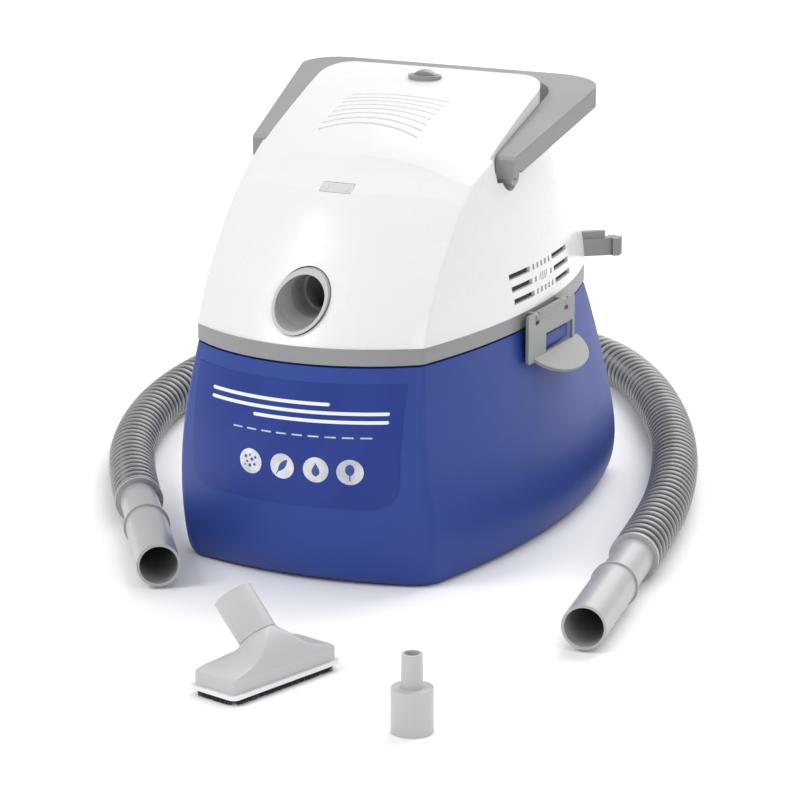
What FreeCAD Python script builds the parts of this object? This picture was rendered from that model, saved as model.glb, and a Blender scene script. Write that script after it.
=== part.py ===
"""Compact wet and dry shop vacuum, in millimetres.

The frame has +Z up, the front (hose inlet) towards -Y and the origin on the floor
under the middle of the tank. Every function makes one sub-part, which main() writes
to parts/NODE.step.
"""
import FreeCAD, Part
import math
import os

V = FreeCAD.Vector

# ---------------------------------------------------------------- driving sizes
TANK_H = 180.0            # floor to the underside of the grey band
BAND_H = 13.0             # height of the band
HALF_W = 99.0             # half-width between the front corners at the band
FRONT_Y = 167.0           # front corners, ahead of the origin
REAR_Y = 170.0            # rear corners, behind the origin
FRONT_BOW = 37.0          # how far the front bows out of its chord
SIDE_BOW = 25.0
REAR_BOW = 12.0
FRONT_R = 10.0            # plan radius of the front corners
REAR_R = 30.0             # plan radius of the rear corners
WALL = 3.0                # moulded wall of the tank and the head
RIM_GAP = 2.0             # shadow gap between the tank and the band
TONGUE_T = 2.5            # rim tongue that stands up inside the band
TONGUE_GAP = 1.0          # clearance between the tongue and the band
GASKET_T = 3.0
DECK_T = 3.0              # partition plate that carries the motor
WEB_W = 16.0              # width of the band's web round the plate
SLIDE_GAP = 0.05          # radial clearance of a running fit
FREE_GAP = 0.5            # clearance between parts that pass each other

INLET_Z = TANK_H + 43.5          # height of the hose inlet
INLET_OD = 46.5
INLET_WALL = 2.6
CUFF_OD = 35.0            # hose cuff that pushes into the inlet
CUFF_BORE = 30.5          # bore of the cuff, which takes the tools
SEAT_LEN = 22.0           # parallel seat for the cuff
HOSE_OD = 40.0
TOOL_GAP = 0.05           # radial clearance of a tool in the cuff

MOTOR_Y = 18.0            # motor axis, behind the origin
CASING_R = 60.0           # fan casing
CASING_H = 34.0
MOTOR_R = 44.0
MOTOR_H = 84.0
SHAFT_R = 5.0
ROTOR_R = 22.0
AIR_GAP = 0.8
CAGE_R = 52.0             # float cage under the deck
CAGE_H = 78.0
FILTER_T = 9.0            # radial thickness of the foam sleeve

LATCH_Y = 16.0            # middle of each latch plate
LATCH_HALF = 48.0
LUG_Y = 32.0              # middle of the catch and of the thumb tab
LUG_HALF = 25.0
LATCH_T = 2.6
LATCH_OFF = 5.4           # from the band to the plate
LATCH_PIN_R = 1.6

SLOPE = 0.31              # rise of the handle and of the shelf below it
TIP_Y = -34.0             # front tips of the handle
TIP_Z = TANK_H + 141            # top of the tips
BAIL_T = 18.0
BAIL_IN = HALF_W + 2          # inner half-width of the handle
BAIL_OUT = BAIL_IN + 16.5         # outer half-width at the tips
BAIL_SPLAY = 18.0         # how much wider the handle gets towards the rear
BAIL_REAR = 108.0
PIVOT_Y = -25.0
PIVOT_Z = TANK_H + 125
PIVOT_R = 4.0

HOOD_X = HALF_W + 1           # half-width of the hood strip
HOOD_END = 78.0           # rear edge of the hood strip
HOOD_R = 26.0             # plan radius of its rear corners

BAND_TOP = TANK_H + BAND_H
DECK_Z = BAND_TOP - DECK_T
CASING_Z = BAND_TOP + 1.5
MOTOR_Z = CASING_Z + CASING_H

# The profile of the hood in the YZ plane: (y, height above the band) along the side
# crease and along the middle, where the surface bows out between the creases.
CREASE = [(-168.5, -3), (-150, 33), (-120, 72), (-88, 103), (-60, 119.5),
          (-30, 134), (5, 148.5), (43, 163), (80, 174)]
MIDDLE = [(-204.5, -3), (-179, 32), (-147, 73), (-115, 111), (-84, 135.5),
          (-46, 153.5), (-5, 162.5), (38, 169), (80, 174.8)]

# The lower body in plan: height above the band, crease y, rear y, side bow.
HEAD_PLAN = [(0, -168, 170, 25), (22, -156, 168, 23.5), (47, -140, 157, 20.5), (72, -120, 139, 17),
             (97, -95, 111, 14), (120, -64, 98, 11), (150, -50, 92, 9), (190, -45, 90, 8)]

# The tank below the band: height above its underside, growth of the front, sides and rear, change
# of the side bow and the front bow, and radius of the front corners.
TANK_PLAN = [(0, 4, 7.5, 28, 0, -20, 30), (4, 5.5, 9, 39, 3, -15, 26), (14, 6.5, 10.5, 45, 6, -9, 23),
             (40, 9, 12, 46, 6.5, -4, 20), (85, 13, 10, 34, 3.5, -0.5, 16), (135, 10, 4.5, 18, 1, 0, 13)]
FOOT_T = 2.0

# ---------------------------------------------------------------- shape helpers


def box(x0, x1, y0, y1, z0, z1):
    """Box between two corners."""
    return Part.makeBox(x1 - x0, y1 - y0, z1 - z0, V(x0, y0, z0))


def rod(radius, start, end):
    """Cylinder between two points."""
    axis = V(*end) - V(*start)
    return Part.makeCylinder(radius, axis.Length, V(*start), axis)


def tube(r_out, r_in, start, end):
    """Hollow cylinder between two points."""
    return rod(r_out, start, end).cut(rod(r_in, start, end))


def cone(r0, r1, start, end):
    """Cone frustum between two points."""
    axis = V(*end) - V(*start)
    return Part.makeCone(r0, r1, axis.Length, V(*start), axis)


def prism(points, vector):
    """Closed polygon of 3-D points, pushed along a vector."""
    corners = [V(*p) for p in points]
    return Part.Face(Part.makePolygon(corners + [corners[0]])).extrude(V(*vector))


def fuse(shapes):
    """One solid out of several that touch."""
    body = shapes[0].multiFuse(shapes[1:]) if len(shapes) > 1 else shapes[0]
    return body.removeSplitter()


def compound(shapes):
    """Several like pieces in one node."""
    return Part.makeCompound(shapes)


def mirrored(shape):
    """The same shape on the other side of the middle plane."""
    return shape.mirror(V(0, 0, 0), V(1, 0, 0))


def largest(shape):
    """The biggest solid of a cut."""
    return max(shape.Solids, key=lambda s: s.Volume)


def bow_circle(p, q, bow):
    """Centre and radius of the arc over chord p-q that bulges to the right of p->q."""
    half = (q - p) * 0.5
    radius = (half.Length ** 2 + bow ** 2) / (2 * bow)
    out = V(half.y, -half.x, 0).normalize()
    return p + half + out * (bow - radius), radius


def blend(ca, ra, cb, rb, r, near):
    """Centre and tangent points of the corner arc between two bowed sides."""
    a, b = ra - r, rb - r
    line = cb - ca
    d = line.Length
    along = (d * d + a * a - b * b) / (2 * d)
    across = math.sqrt(max(a * a - along * along, 0))
    u = line.normalize()
    w = V(-u.y, u.x, 0)
    centres = [ca + u * along + w * across, ca + u * along - w * across]
    f = min(centres, key=lambda c: (c - near).Length)
    return f, ca + (f - ca) * (ra / a), cb + (f - cb) * (rb / b)


class Plan:
    """Plan outline with four bowed sides and round corners, symmetrical about x = 0."""

    def __init__(self, front_x, front_y, rear_x, rear_y, side_bow,
                 front_bow=FRONT_BOW, rear_bow=REAR_BOW, front_r=FRONT_R, rear_r=REAR_R):
        fr, rr = V(front_x, front_y, 0), V(rear_x, rear_y, 0)
        fl, rl = V(-front_x, front_y, 0), V(-rear_x, rear_y, 0)
        self.sides = [bow_circle(fl, fr, front_bow), bow_circle(fr, rr, side_bow),
                      bow_circle(rr, rl, rear_bow)]
        self.corners = [(blend(*self.sides[0], *self.sides[1], front_r, fr), front_r),
                        (blend(*self.sides[1], *self.sides[2], rear_r, rr), rear_r)]

    def wire(self, z, inset=0.0):
        """Closed wire at height z, moved inwards by inset."""
        arcs = []
        (f1, a1, b1), r1 = self.corners[0]
        (f2, a2, b2), r2 = self.corners[1]
        front, side, rear = self.sides

        def shrink(p, centre, radius):
            return centre + (p - centre) * ((radius - inset) / radius)

        a1, b1 = shrink(a1, *front), shrink(b1, *side)
        a2, b2 = shrink(a2, *side), shrink(b2, *rear)
        front_mid = front[0] + V(0, -(front[1] - inset), 0)
        rear_mid = rear[0] + V(0, rear[1] - inset, 0)

        def middle(p, q, centre, radius):
            return centre + ((p + q) * 0.5 - centre).normalize() * radius

        right = [(a1, middle(a1, b1, f1, r1 - inset), b1),
                 (b1, middle(b1, a2, side[0], side[1] - inset), a2),
                 (a2, middle(a2, b2, f2, r2 - inset), b2)]
        flip = [tuple(V(-p.x, p.y, 0) for p in reversed(arc)) for arc in reversed(right)]
        arcs.append((V(-a1.x, a1.y, 0), front_mid, a1))
        arcs += right
        arcs.append((b2, rear_mid, V(-b2.x, b2.y, 0)))
        arcs += flip
        lift = V(0, 0, z)
        return Part.Wire([Part.Arc(*(p + lift for p in arc)).toShape() for arc in arcs])

    def slab(self, z0, z1, inset=0.0):
        """Solid between two heights."""
        return Part.Face(self.wire(z0, inset)).extrude(V(0, 0, z1 - z0))

    def ring(self, z0, z1, outer, inner):
        """Ring between two insets and two heights."""
        return self.slab(z0, z1, outer).cut(self.slab(z0, z1, inner))

    def side_x(self, y):
        """Half-width of the outline beside y."""
        centre, radius = self.sides[1]
        return centre.x + math.sqrt(radius ** 2 - (y - centre.y) ** 2)


RIM = Plan(HALF_W, -FRONT_Y, HALF_W - 3, REAR_Y, SIDE_BOW)
CORE = Plan(HALF_W, -FRONT_Y, HALF_W - 3, REAR_Y, SIDE_BOW, front_r=WEB_W + 6, rear_r=WEB_W + 20)


# ---------------------------------------------------------------- tank


def tank_plan(grow_front, grow_side, grow_rear, side_bow, front_bow, front_r):
    """Tank outline grown from the rim outline."""
    return Plan(HALF_W + grow_side, -FRONT_Y - grow_front, HALF_W - 3 + grow_side, REAR_Y + grow_rear,
                SIDE_BOW + side_bow, FRONT_BOW + front_bow, front_r=front_r)


def tank_levels(inset=0.0, lift=0.0):
    """Wires of the tank from the floor to the rim; lift raises the lowest ones."""
    wires = []
    for z, *growth in TANK_PLAN:
        raised = z + lift if z < 20 else z * (TANK_H - 4) / 176
        wires.append(tank_plan(*growth).wire(FOOT_T + raised, inset))
    wires.append(RIM.wire(TANK_H - RIM_GAP, inset))
    return wires


def tank_outer(grow=0.0):
    """Outer body of the tank."""
    return Part.makeLoft(tank_levels(-grow), True, False)


def lug(side_x):
    """Catch that the right latch closes over."""
    z0 = TANK_H - 24
    body = box(side_x - 14, side_x + LATCH_OFF - FREE_GAP, LUG_Y - LUG_HALF, LUG_Y + LUG_HALF, z0, z0 + 11)
    return body.makeFillet(1.5, [e for e in body.Edges if abs(e.CenterOfMass.x - body.BoundBox.XMax) < 0.1])


def tank_shell():
    """Bin with a rim tongue, catches for the latches and a grip moulded low at the rear."""
    outer = tank_outer()
    inner = Part.makeLoft(tank_levels(WALL, WALL), True, False)
    mouth = RIM.slab(TANK_H - 8, TANK_H + 20, WALL + 0.02)
    lugs = lug(RIM.side_x(LATCH_Y))
    tongue_out = WALL + TONGUE_GAP
    tongue = RIM.ring(TANK_H - 12, TANK_H + BAND_H - DECK_T - GASKET_T, tongue_out, tongue_out + TONGUE_T)
    shoulder = RIM.ring(TANK_H - 12, TANK_H - RIM_GAP, WALL - 1, tongue_out + TONGUE_T)
    body = outer.fuse([lugs, mirrored(lugs)]).cut(inner.fuse(mouth))
    body = fuse([body, tongue.fuse(shoulder)])
    for x, y in foot_places():
        body = body.cut(rod(FOOT_R + 0.2, (x, y, 0), (x, y, FOOT_T + 1)))
    return largest(body)


FOOT_R = 11.0


def foot_places():
    """Centres of the five feet, the last one under the middle."""
    corners = [(sx * (HALF_W - 31), y) for sx in (1, -1) for y in (-FRONT_Y + 27, REAR_Y - 7)]
    return corners + [(0, 0)]


def foot_pads():
    """Rubber feet."""
    pads = []
    for x, y in foot_places():
        pads.append(cone(FOOT_R - 1, FOOT_R, (x, y, 0), (x, y, FOOT_T + 1)))
    return compound(pads)


LABEL_Z0 = TANK_H - 112
LABEL_Z1 = TANK_H - 14
LABEL_R = 20.0


def tank_label():
    """Thin label on the bowed front, with large lower corners."""
    half, y0 = HALF_W - 8, -FRONT_Y - 60
    low = LABEL_Z0 + LABEL_R
    block = box(-half, half, y0, -FRONT_Y + 8, low, LABEL_Z1)
    block = block.fuse(box(-half + LABEL_R, half - LABEL_R, y0, -FRONT_Y + 8, LABEL_Z0, low))
    for side in (-1, 1):
        x = side * (half - LABEL_R)
        block = block.fuse(rod(LABEL_R, (x, y0, low), (x, -FRONT_Y + 8, low)))
    return largest(tank_outer(0.5).common(block).cut(tank_outer()))


# ---------------------------------------------------------------- hood and head shell


def hood_profile(x, inset):
    """Profile wire of the hood at one x, moved inwards by inset."""
    share = 1 - (x / HOOD_X) ** 2
    points = []
    for (cy, cz), (my, mz) in zip(CREASE, MIDDLE):
        points.append(V(x, cy + (my - cy) * share, BAND_TOP + cz + (mz - cz) * share))
    moved = []
    for i, p in enumerate(points):
        t = points[min(i + 1, len(points) - 1)] - points[max(i - 1, 0)]
        n = V(0, t.z, -t.y).normalize()
        moved.append(p + n * inset)
    moved[0] = moved[0] + (moved[0] - moved[1]).normalize() * (4 + inset)
    moved[-1] = moved[-1] + V(0, 60, 12)
    curve = Part.BSplineCurve()
    curve.interpolate(moved)
    low, high = moved[0], moved[-1]
    far = REAR_Y + 90
    rest = [V(x, far, high.z), V(x, far, low.z), low]
    edges = [curve.toShape(), Part.makeLine(high, rest[0]), Part.makeLine(rest[0], rest[1]),
             Part.makeLine(rest[1], rest[2])]
    return Part.Wire(edges)


def hood(inset=0.0):
    """Solid under the hood surface."""
    stations = [-1.3, -1.0, -0.5, 0.0, 0.5, 1.0, 1.3]
    return Part.makeLoft([hood_profile(s * HOOD_X, inset) for s in stations], True, False)


def head_plan(inset=0.0):
    """Solid inside the head's side and rear walls."""
    wires = []
    for dz, front, rear, bow in HEAD_PLAN:
        plan = Plan(HOOD_X, front, HALF_W - 3, rear + REAR_Y - 170, bow)
        wires.append(plan.wire(BAND_TOP + dz, inset))
    return Part.makeLoft(wires, True, False)


def hood_island(inset=0.0, z0=280.0):
    """Rounded plan block that the hood strip keeps above the shelf."""
    x, y = HOOD_X - inset, HOOD_END - inset
    radius = HOOD_R - inset
    block = box(-x, x, -300, y - radius, z0, z0 + 200)
    block = block.fuse(box(-x + radius, x - radius, -300, y, z0, z0 + 200))
    for side in (-1, 1):
        cx = side * (x - radius)
        block = block.fuse(rod(radius, (cx, y - radius, z0), (cx, y - radius, z0 + 200)))
    return block


def shelf_z(y):
    """Top of the bare shelf below the handle, beside y."""
    return TIP_Z - BAIL_T - 3 + SLOPE * (y - TIP_Y)


def shelf_cut(inset=0.0):
    """Space above the shelf that the handle lies on, down to the rear deck."""
    front = TIP_Y - 10 - inset
    outline = [(front, 500), (front, shelf_z(front) + 4 - inset), (TIP_Y, shelf_z(TIP_Y) - inset),
               (52, shelf_z(52) - inset), (84, shelf_z(60) - inset), (118, shelf_z(20) - inset),
               (300, 265 - inset), (300, 500)]
    block = prism([(-200, y, z) for y, z in outline], (400, 0, 0))
    well = rod(12 + inset, (-200, PIVOT_Y, PIVOT_Z - 1), (200, PIVOT_Y, PIVOT_Z - 1))
    return block.fuse(well).cut(hood_island(inset, 250.0))


SLOT_ROWS = 3
SLOT_H = 4.6
SLOT_PITCH = 10.6
SLOT_Z = TANK_H + 22.0


def side_slots():
    """Exhaust slots in three rows, with slanted slits in an oval in the middle."""
    cuts = []
    x0, x1 = HALF_W - 30, HALF_W + 60
    for row in range(SLOT_ROWS):
        z = SLOT_Z + row * SLOT_PITCH
        shift = -3.0 * row
        spans = [(-40 + shift, -2 + shift), (46 + shift, 86 + shift)]
        if row != 1:
            spans += [(3 + shift + i * 8.4, 7 + shift + i * 8.4) for i in range(5)]
        else:
            spans += [(3 + shift, 7 + shift), (37 + shift, 41 + shift)]
        for y0, y1 in spans:
            cuts.append(box(x0, x1, y0, y1, z, z + SLOT_H))
    z = SLOT_Z + SLOT_PITCH + SLOT_H / 2
    r, y0, y1 = 3.4, 12.6, 25.4
    oval_hole = fuse([rod(r, (x0, y, z), (x1, y, z)) for y in (y0, y1)] + [box(x0, x1, y0, y1, z - r, z + r)])
    for i in range(4):
        y = y0 - 4.6 + i * 4.4
        slit = prism([(x0, y, z - r), (x0, y + 2.4, z - r), (x0, y + 6.4, z + r), (x0, y + 4, z + r)],
                     (x1 - x0, 0, 0))
        cuts.append(slit.common(oval_hole))
    return cuts


GROOVES = 8
GROOVE_W = 2.6
GROOVE_DEPTH = 1.4


def grooves():
    """Shallow curved grooves across the top of the hood."""
    skin = hood(-1.0).cut(hood(GROOVE_DEPTH))
    cuts = []
    for i in range(GROOVES):
        y = 4 - 9.0 * i
        bow = -0.7 + 0.85 * i
        half = 44.0
        front = y - GROOVE_W
        arc_in = Part.Arc(V(-half, y, 300), V(0, y + bow, 300), V(half, y, 300)).toShape()
        arc_out = Part.Arc(V(half, front, 300), V(0, front + bow, 300), V(-half, front, 300)).toShape()
        ends = [Part.makeLine(V(half, y, 300), V(half, front, 300)),
                Part.makeLine(V(-half, front, 300), V(-half, y, 300))]
        face = Part.Face(Part.Wire([arc_in, ends[0], arc_out, ends[1]]))
        cuts.append(face.extrude(V(0, 0, 90)))
    return skin.common(cuts[0].multiFuse(cuts[1:]))


BUTTON_Y = 49.0
BUTTON_A = 14.5          # half-length of the oval bezel
BUTTON_B = 9.0
BADGE_Y = -117.0
BADGE_HALF = 14.0
BADGE_H = 6.5


def oval(a, b, y, z0, z1):
    """Elliptical prism standing on z0."""
    ellipse = Part.Ellipse(V(0, y, z0), a, b)
    return Part.Face(Part.Wire([ellipse.toShape()])).extrude(V(0, 0, z1 - z0))


def hood_top(y):
    """Height of the hood's middle line above y."""
    points = [(my, BAND_TOP + mz) for my, mz in MIDDLE]
    for (y0, z0), (y1, z1) in zip(points, points[1:]):
        if y0 <= y <= y1:
            return z0 + (z1 - z0) * (y - y0) / (y1 - y0)
    return points[-1][1]


REAR_PORT_Z = TANK_H + 56
GLAND_X = 48.0
GLAND_Z = TANK_H + 32
GLAND_R = 3.6            # bore for the mains cord
GLAND_BODY_R = 6.0       # body of the gland in the wall
HOOK_X = 78.0
HOOK_Z = TANK_H + 21.0
PIVOT_BOSS_R = 8.5
HOOK_REACH = 61.0
HOOK_TURN = 38.0          # heading of the right hook


def gland_outer():
    """Outside of the strain relief, which also shapes its hole in the rear wall."""
    return fuse([cone(7.5, 5.2, (GLAND_X, REAR_Y + 2, GLAND_Z), (GLAND_X, REAR_Y + 22, GLAND_Z)),
                 rod(GLAND_BODY_R, (GLAND_X, REAR_Y - 14, GLAND_Z), (GLAND_X, REAR_Y + 3, GLAND_Z))])


def head_outer(inset=0.0):
    """Head body before it is hollowed."""
    return hood(inset).common(head_plan(inset)).cut(shelf_cut(inset))


def boss_places():
    """Places of the screw bosses inside the head."""
    return [(sx * x, y) for sx in (1, -1) for x, y in ((80, -120), (84, 120))]


def head_shell():
    """White hood with its side and rear walls, in one moulding."""
    shell = head_outer().cut(head_outer(WALL).fuse(RIM.slab(BAND_TOP - 6, BAND_TOP + 0.01, WALL)))
    inlet_hole = rod(INLET_OD / 2 + 0.9, (0, -260, INLET_Z), (0, -140, INLET_Z))
    rear_hole = rod(INLET_OD / 2 + 0.5, (0, 120, REAR_PORT_Z), (0, 260, REAR_PORT_Z))
    shell = shell.cut([inlet_hole, rear_hole, gland_outer()])
    cuts = side_slots()
    shell = shell.cut(cuts + [mirrored(c) for c in cuts])
    shell = shell.cut(grooves())
    top = hood_top(BUTTON_Y)
    shell = shell.cut(oval(BUTTON_A - 2, BUTTON_B - 2, BUTTON_Y, top - 20, top + 20))
    shell = shell.cut(badge_block(0.1))
    pins = rod(PIVOT_R + SLIDE_GAP, (-130, PIVOT_Y, PIVOT_Z), (130, PIVOT_Y, PIVOT_Z))
    pads = []
    for side in (-1, 1):
        inner, outer = side * (HOOD_X - WALL - 9), side * (HOOD_X - WALL + 0.5)
        pads.append(rod(PIVOT_BOSS_R, (inner, PIVOT_Y, PIVOT_Z), (outer, PIVOT_Y, PIVOT_Z)))
    bosses = []
    for x, y in boss_places():
        height = 26.0
        bosses.append(tube(4.5, 1.6, (x, y, BAND_TOP), (x, y, BAND_TOP + height)))
        bosses.append(box(min(x, x * 1.22), max(x, x * 1.22), y - 1.2, y + 1.2, BAND_TOP + 4, BAND_TOP + 20)
                      .cut(rod(2, (x, y, BAND_TOP), (x, y, BAND_TOP + 40))).common(head_outer(0.4)))
    shell = shell.fuse(pads + bosses).cut(pins)
    return largest(shell)


def badge_block(gap=0.0):
    """Block of the small window in the front of the hood."""
    z = hood_top(BADGE_Y)
    return box(-BADGE_HALF - gap, BADGE_HALF + gap, BADGE_Y - 30, BADGE_Y + 30,
               z - BADGE_H / 2 - gap, z + BADGE_H / 2 + gap)


def indicator_window():
    """Small recessed window with two pilot dots."""
    pane = badge_block(-0.1).common(hood(0.8)).cut(hood(WALL - 0.2))
    z = hood_top(BADGE_Y)
    dots = [rod(1.6, (x, BADGE_Y - 30, z), (x, BADGE_Y + 30, z)) for x in (-9, 9)]
    raised = badge_block(-0.5).common(hood(0.4)).cut(hood(1.0))
    lenses = raised.common(dots[0].fuse(dots[1]))
    return fuse([largest(pane)] + lenses.Solids)


# ---------------------------------------------------------------- band, deck and seals


def head_band():
    """Grey band under the hood: a skirt over the rim tongue and a web that carries the deck."""
    skirt = RIM.ring(TANK_H, BAND_TOP, -0.4, WALL)
    web = RIM.slab(BAND_TOP - DECK_T, BAND_TOP, WALL - 0.5).cut(CORE.slab(DECK_Z, BAND_TOP, WEB_W))
    ears = hinge_ears()
    body = fuse([skirt, web] + ears + [mirrored(e) for e in ears])
    body = body.cut([rod(LATCH_PIN_R, *hinge_line(1)), rod(LATCH_PIN_R, *hinge_line(-1))])
    for x, y in boss_places():
        body = body.cut(rod(1.7, (x, y, 0), (x, y, 300)))
    return largest(body)


def head_gasket():
    """Foam ring that rests on the rim tongue."""
    outer = WALL + 0.3
    return RIM.ring(BAND_TOP - DECK_T - GASKET_T, BAND_TOP - DECK_T, outer, outer + 6)


ELBOW_R = 34.0            # bend radius of the inlet elbow
ELBOW_Y = -139.0          # where the straight part of the inlet ends


def motor_deck():
    """Partition plate between the tank and the motor."""
    plate = CORE.slab(DECK_Z, BAND_TOP, WEB_W)
    down_y = ELBOW_Y + ELBOW_R
    plate = plate.cut(rod(INLET_OD / 2 + 0.2, (0, down_y, 0), (0, down_y, 300)))
    plate = plate.cut(rod(30, (0, MOTOR_Y, 0), (0, MOTOR_Y, 300)))
    for x, y in deck_screw_places() + cage_screw_places() + boss_places():
        plate = plate.cut(rod(1.7, (x, y, 0), (x, y, 300)))
    ribs = [box(-3 + x, x, 100, 128, BAND_TOP, BAND_TOP + 10) for x in (-45, 48)]
    return fuse([plate] + ribs)


def deck_screw_places():
    """Screws that hold the fan casing to the deck."""
    radius = CASING_R + 6
    return [(radius * math.cos(t), MOTOR_Y + radius * math.sin(t))
            for t in (math.radians(45 + 90 * i) for i in range(4))]


def cage_screw_places():
    """Screws that hold the float cage to the deck."""
    radius = CAGE_R - 7
    return [(radius * math.cos(t), MOTOR_Y + radius * math.sin(t))
            for t in (math.radians(90 * i) for i in range(4))]


# ---------------------------------------------------------------- inlet and outlet


def bend(radius, y, z):
    """Quarter bend from +Y down to -Z with centreline radius ELBOW_R."""
    circle = Part.Wire([Part.Circle(V(0, y, z), V(0, 1, 0), radius).toShape()])
    return Part.Face(circle).revolve(V(0, y, z - ELBOW_R), V(-1, 0, 0), 90)


INLET_LEAD = 20.0         # depth of the tapered mouth


def inlet_tube():
    """Hose inlet, cut level with the sloping front, that turns down through the deck."""
    r_out = INLET_OD / 2
    r_in = r_out - INLET_WALL
    seat = CUFF_OD / 2 + TOOL_GAP
    down_y = ELBOW_Y + ELBOW_R
    low = DECK_Z - 14
    solid = fuse([rod(r_out, (0, -230, INLET_Z), (0, ELBOW_Y, INLET_Z)),
                  bend(r_out, ELBOW_Y, INLET_Z),
                  rod(r_out, (0, down_y, INLET_Z - ELBOW_R), (0, down_y, low)).fuse(
                      tube(r_out + 4, r_out - 0.5, (0, down_y, BAND_TOP), (0, down_y, BAND_TOP + 2)))])
    slope = 0.745
    slant = [(-260 + 40 * slope, INLET_Z + 40), (inlet_front(40, slope), INLET_Z + 40),
             (inlet_front(-40, slope), INLET_Z - 40), (-260 - 40 * slope, INLET_Z - 40)]
    solid = solid.cut(prism([(-60, y, z) for y, z in slant], (120, 0, 0)))
    mouth = inlet_front(0, slope)
    lead_end = mouth + INLET_LEAD
    bore = fuse([rod(r_in, (0, -230, INLET_Z), (0, mouth + 4, INLET_Z)),
                 cone(r_in, seat, (0, mouth + 4, INLET_Z), (0, lead_end, INLET_Z)),
                 rod(seat, (0, lead_end, INLET_Z), (0, lead_end + SEAT_LEN, INLET_Z))])
    stop = lead_end + SEAT_LEN
    inner = CUFF_OD / 2 - 2
    way = fuse([rod(inner, (0, stop - 1, INLET_Z), (0, ELBOW_Y, INLET_Z)) if stop - 1 < ELBOW_Y
                else rod(inner, (0, ELBOW_Y - 1, INLET_Z), (0, ELBOW_Y, INLET_Z)),
                bend(inner, ELBOW_Y, INLET_Z),
                rod(inner, (0, down_y, INLET_Z - ELBOW_R), (0, down_y, low - 1))])
    return largest(solid.cut(bore.fuse(way)))


def inlet_front(dz, slope):
    """Where the slanting mouth of the inlet lies, dz above its middle."""
    return -182.5 + slope * dz


def inlet_seal():
    """Rubber ring round the inlet, behind the hood wall."""
    return tube(INLET_OD / 2 + 5, INLET_OD / 2 + 0.0, (0, -152, INLET_Z), (0, -147, INLET_Z))


def rear_port_y():
    """Outer end of the blower outlet."""
    return REAR_Y + 12


def blower_outlet():
    """Blower outlet in the rear wall, with the same seat as the inlet."""
    y1 = rear_port_y()
    seat = CUFF_OD / 2 + TOOL_GAP
    body = fuse([rod(INLET_OD / 2, (0, 120, REAR_PORT_Z), (0, y1, REAR_PORT_Z)),
                 rod(INLET_OD / 2 + 4, (0, 133, REAR_PORT_Z), (0, 136, REAR_PORT_Z))])
    bore = fuse([rod(seat, (0, y1 - SEAT_LEN, REAR_PORT_Z), (0, y1 + 1, REAR_PORT_Z)),
                 rod(CUFF_OD / 2 - 2, (0, 100, REAR_PORT_Z), (0, y1, REAR_PORT_Z))])
    return body.cut(bore)


# ---------------------------------------------------------------- handle


def bail_point(x, y, top=True):
    """Point on the handle's sloping top or bottom."""
    return V(x, y, TIP_Z + SLOPE * (y - TIP_Y) - (0 if top else BAIL_T))


def handle_bail():
    """Carrying handle: a flat U with splayed outer sides, pivoted at its front tips."""
    x_in, y_in = BAIL_IN, HOOD_END + 14
    x_tip, x_rear = BAIL_OUT, BAIL_OUT + BAIL_SPLAY
    height = 500
    turns = [math.radians(9 * i) for i in range(11)]
    bend = [(x_rear - 40 + 40 * math.cos(t), BAIL_REAR - 18 + 18 * math.sin(t)) for t in turns]
    outer = [(-x_tip, TIP_Y), (x_tip, TIP_Y)] + bend + [(-x, y) for x, y in reversed(bend)]
    block = prism([(x, y, 0) for x, y in outer], (0, 0, height))
    corner = 24.0
    gap = box(-x_in, x_in, -200, y_in - corner, -10, height + 10)
    gap = gap.fuse(box(-x_in + corner, x_in - corner, -200, y_in, -10, height + 10))
    for side in (-1, 1):
        gap = gap.fuse(rod(corner, (side * (x_in - corner), y_in - corner, -10),
                           (side * (x_in - corner), y_in - corner, height + 10)))
    block = block.cut(gap)
    y0, y1 = TIP_Y - 20, BAIL_REAR + 20
    top0, top1 = bail_point(0, y0).z, bail_point(0, y1).z
    layer = prism([(-200, y0, top0), (-200, y1, top1), (-200, y1, top1 - BAIL_T), (-200, y0, top0 - BAIL_T)],
                  (400, 0, 0))
    bail = block.common(layer)
    edges = [e for e in bail.Edges
             if abs(e.CenterOfMass.x) > BAIL_OUT - 1 and e.CenterOfMass.y < BAIL_REAR - 20 and e.Length > 30]
    bail = bail.makeFillet(1.6, edges)
    nose = [(-200, TIP_Y - 1, TIP_Z - 4), (-200, TIP_Y - 1, TIP_Z + 4), (-200, TIP_Y + 4, TIP_Z + 4)]
    bail = bail.cut(prism(nose, (400, 0, 0)))
    ends = []
    for side in (-1, 1):
        a, b = side * (BAIL_IN + 0.0), side * (BAIL_IN + 13)
        ends.append(rod(PIVOT_BOSS_R, (a, PIVOT_Y, PIVOT_Z), (b, PIVOT_Y, PIVOT_Z)))
    bail = fuse([bail] + ends)
    pin = rod(PIVOT_R + SLIDE_GAP, (-150, PIVOT_Y, PIVOT_Z), (150, PIVOT_Y, PIVOT_Z))
    return bail.cut(pin)


def handle_pins():
    """Two pivot pins with heads on the inside."""
    pins = []
    for side in (-1, 1):
        a, b = side * (HOOD_X - WALL - 10), side * (BAIL_IN + 11)
        pin = rod(PIVOT_R, (a, PIVOT_Y, PIVOT_Z), (b, PIVOT_Y, PIVOT_Z))
        head = rod(PIVOT_R + 2.5, (a - side * 2.5, PIVOT_Y, PIVOT_Z), (a + side * 0.5, PIVOT_Y, PIVOT_Z))
        pins.append(fuse([pin, head]))
    return compound(pins)


# ---------------------------------------------------------------- latches


HINGE_Z = TANK_H + 7.0
KNUCKLE_R = 4.0
EAR_IN = 27.0
EAR_T = 6.0


def hinge_x():
    """Distance of the latch hinge from the middle plane."""
    return RIM.side_x(LATCH_Y) + KNUCKLE_R + 0.8


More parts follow.
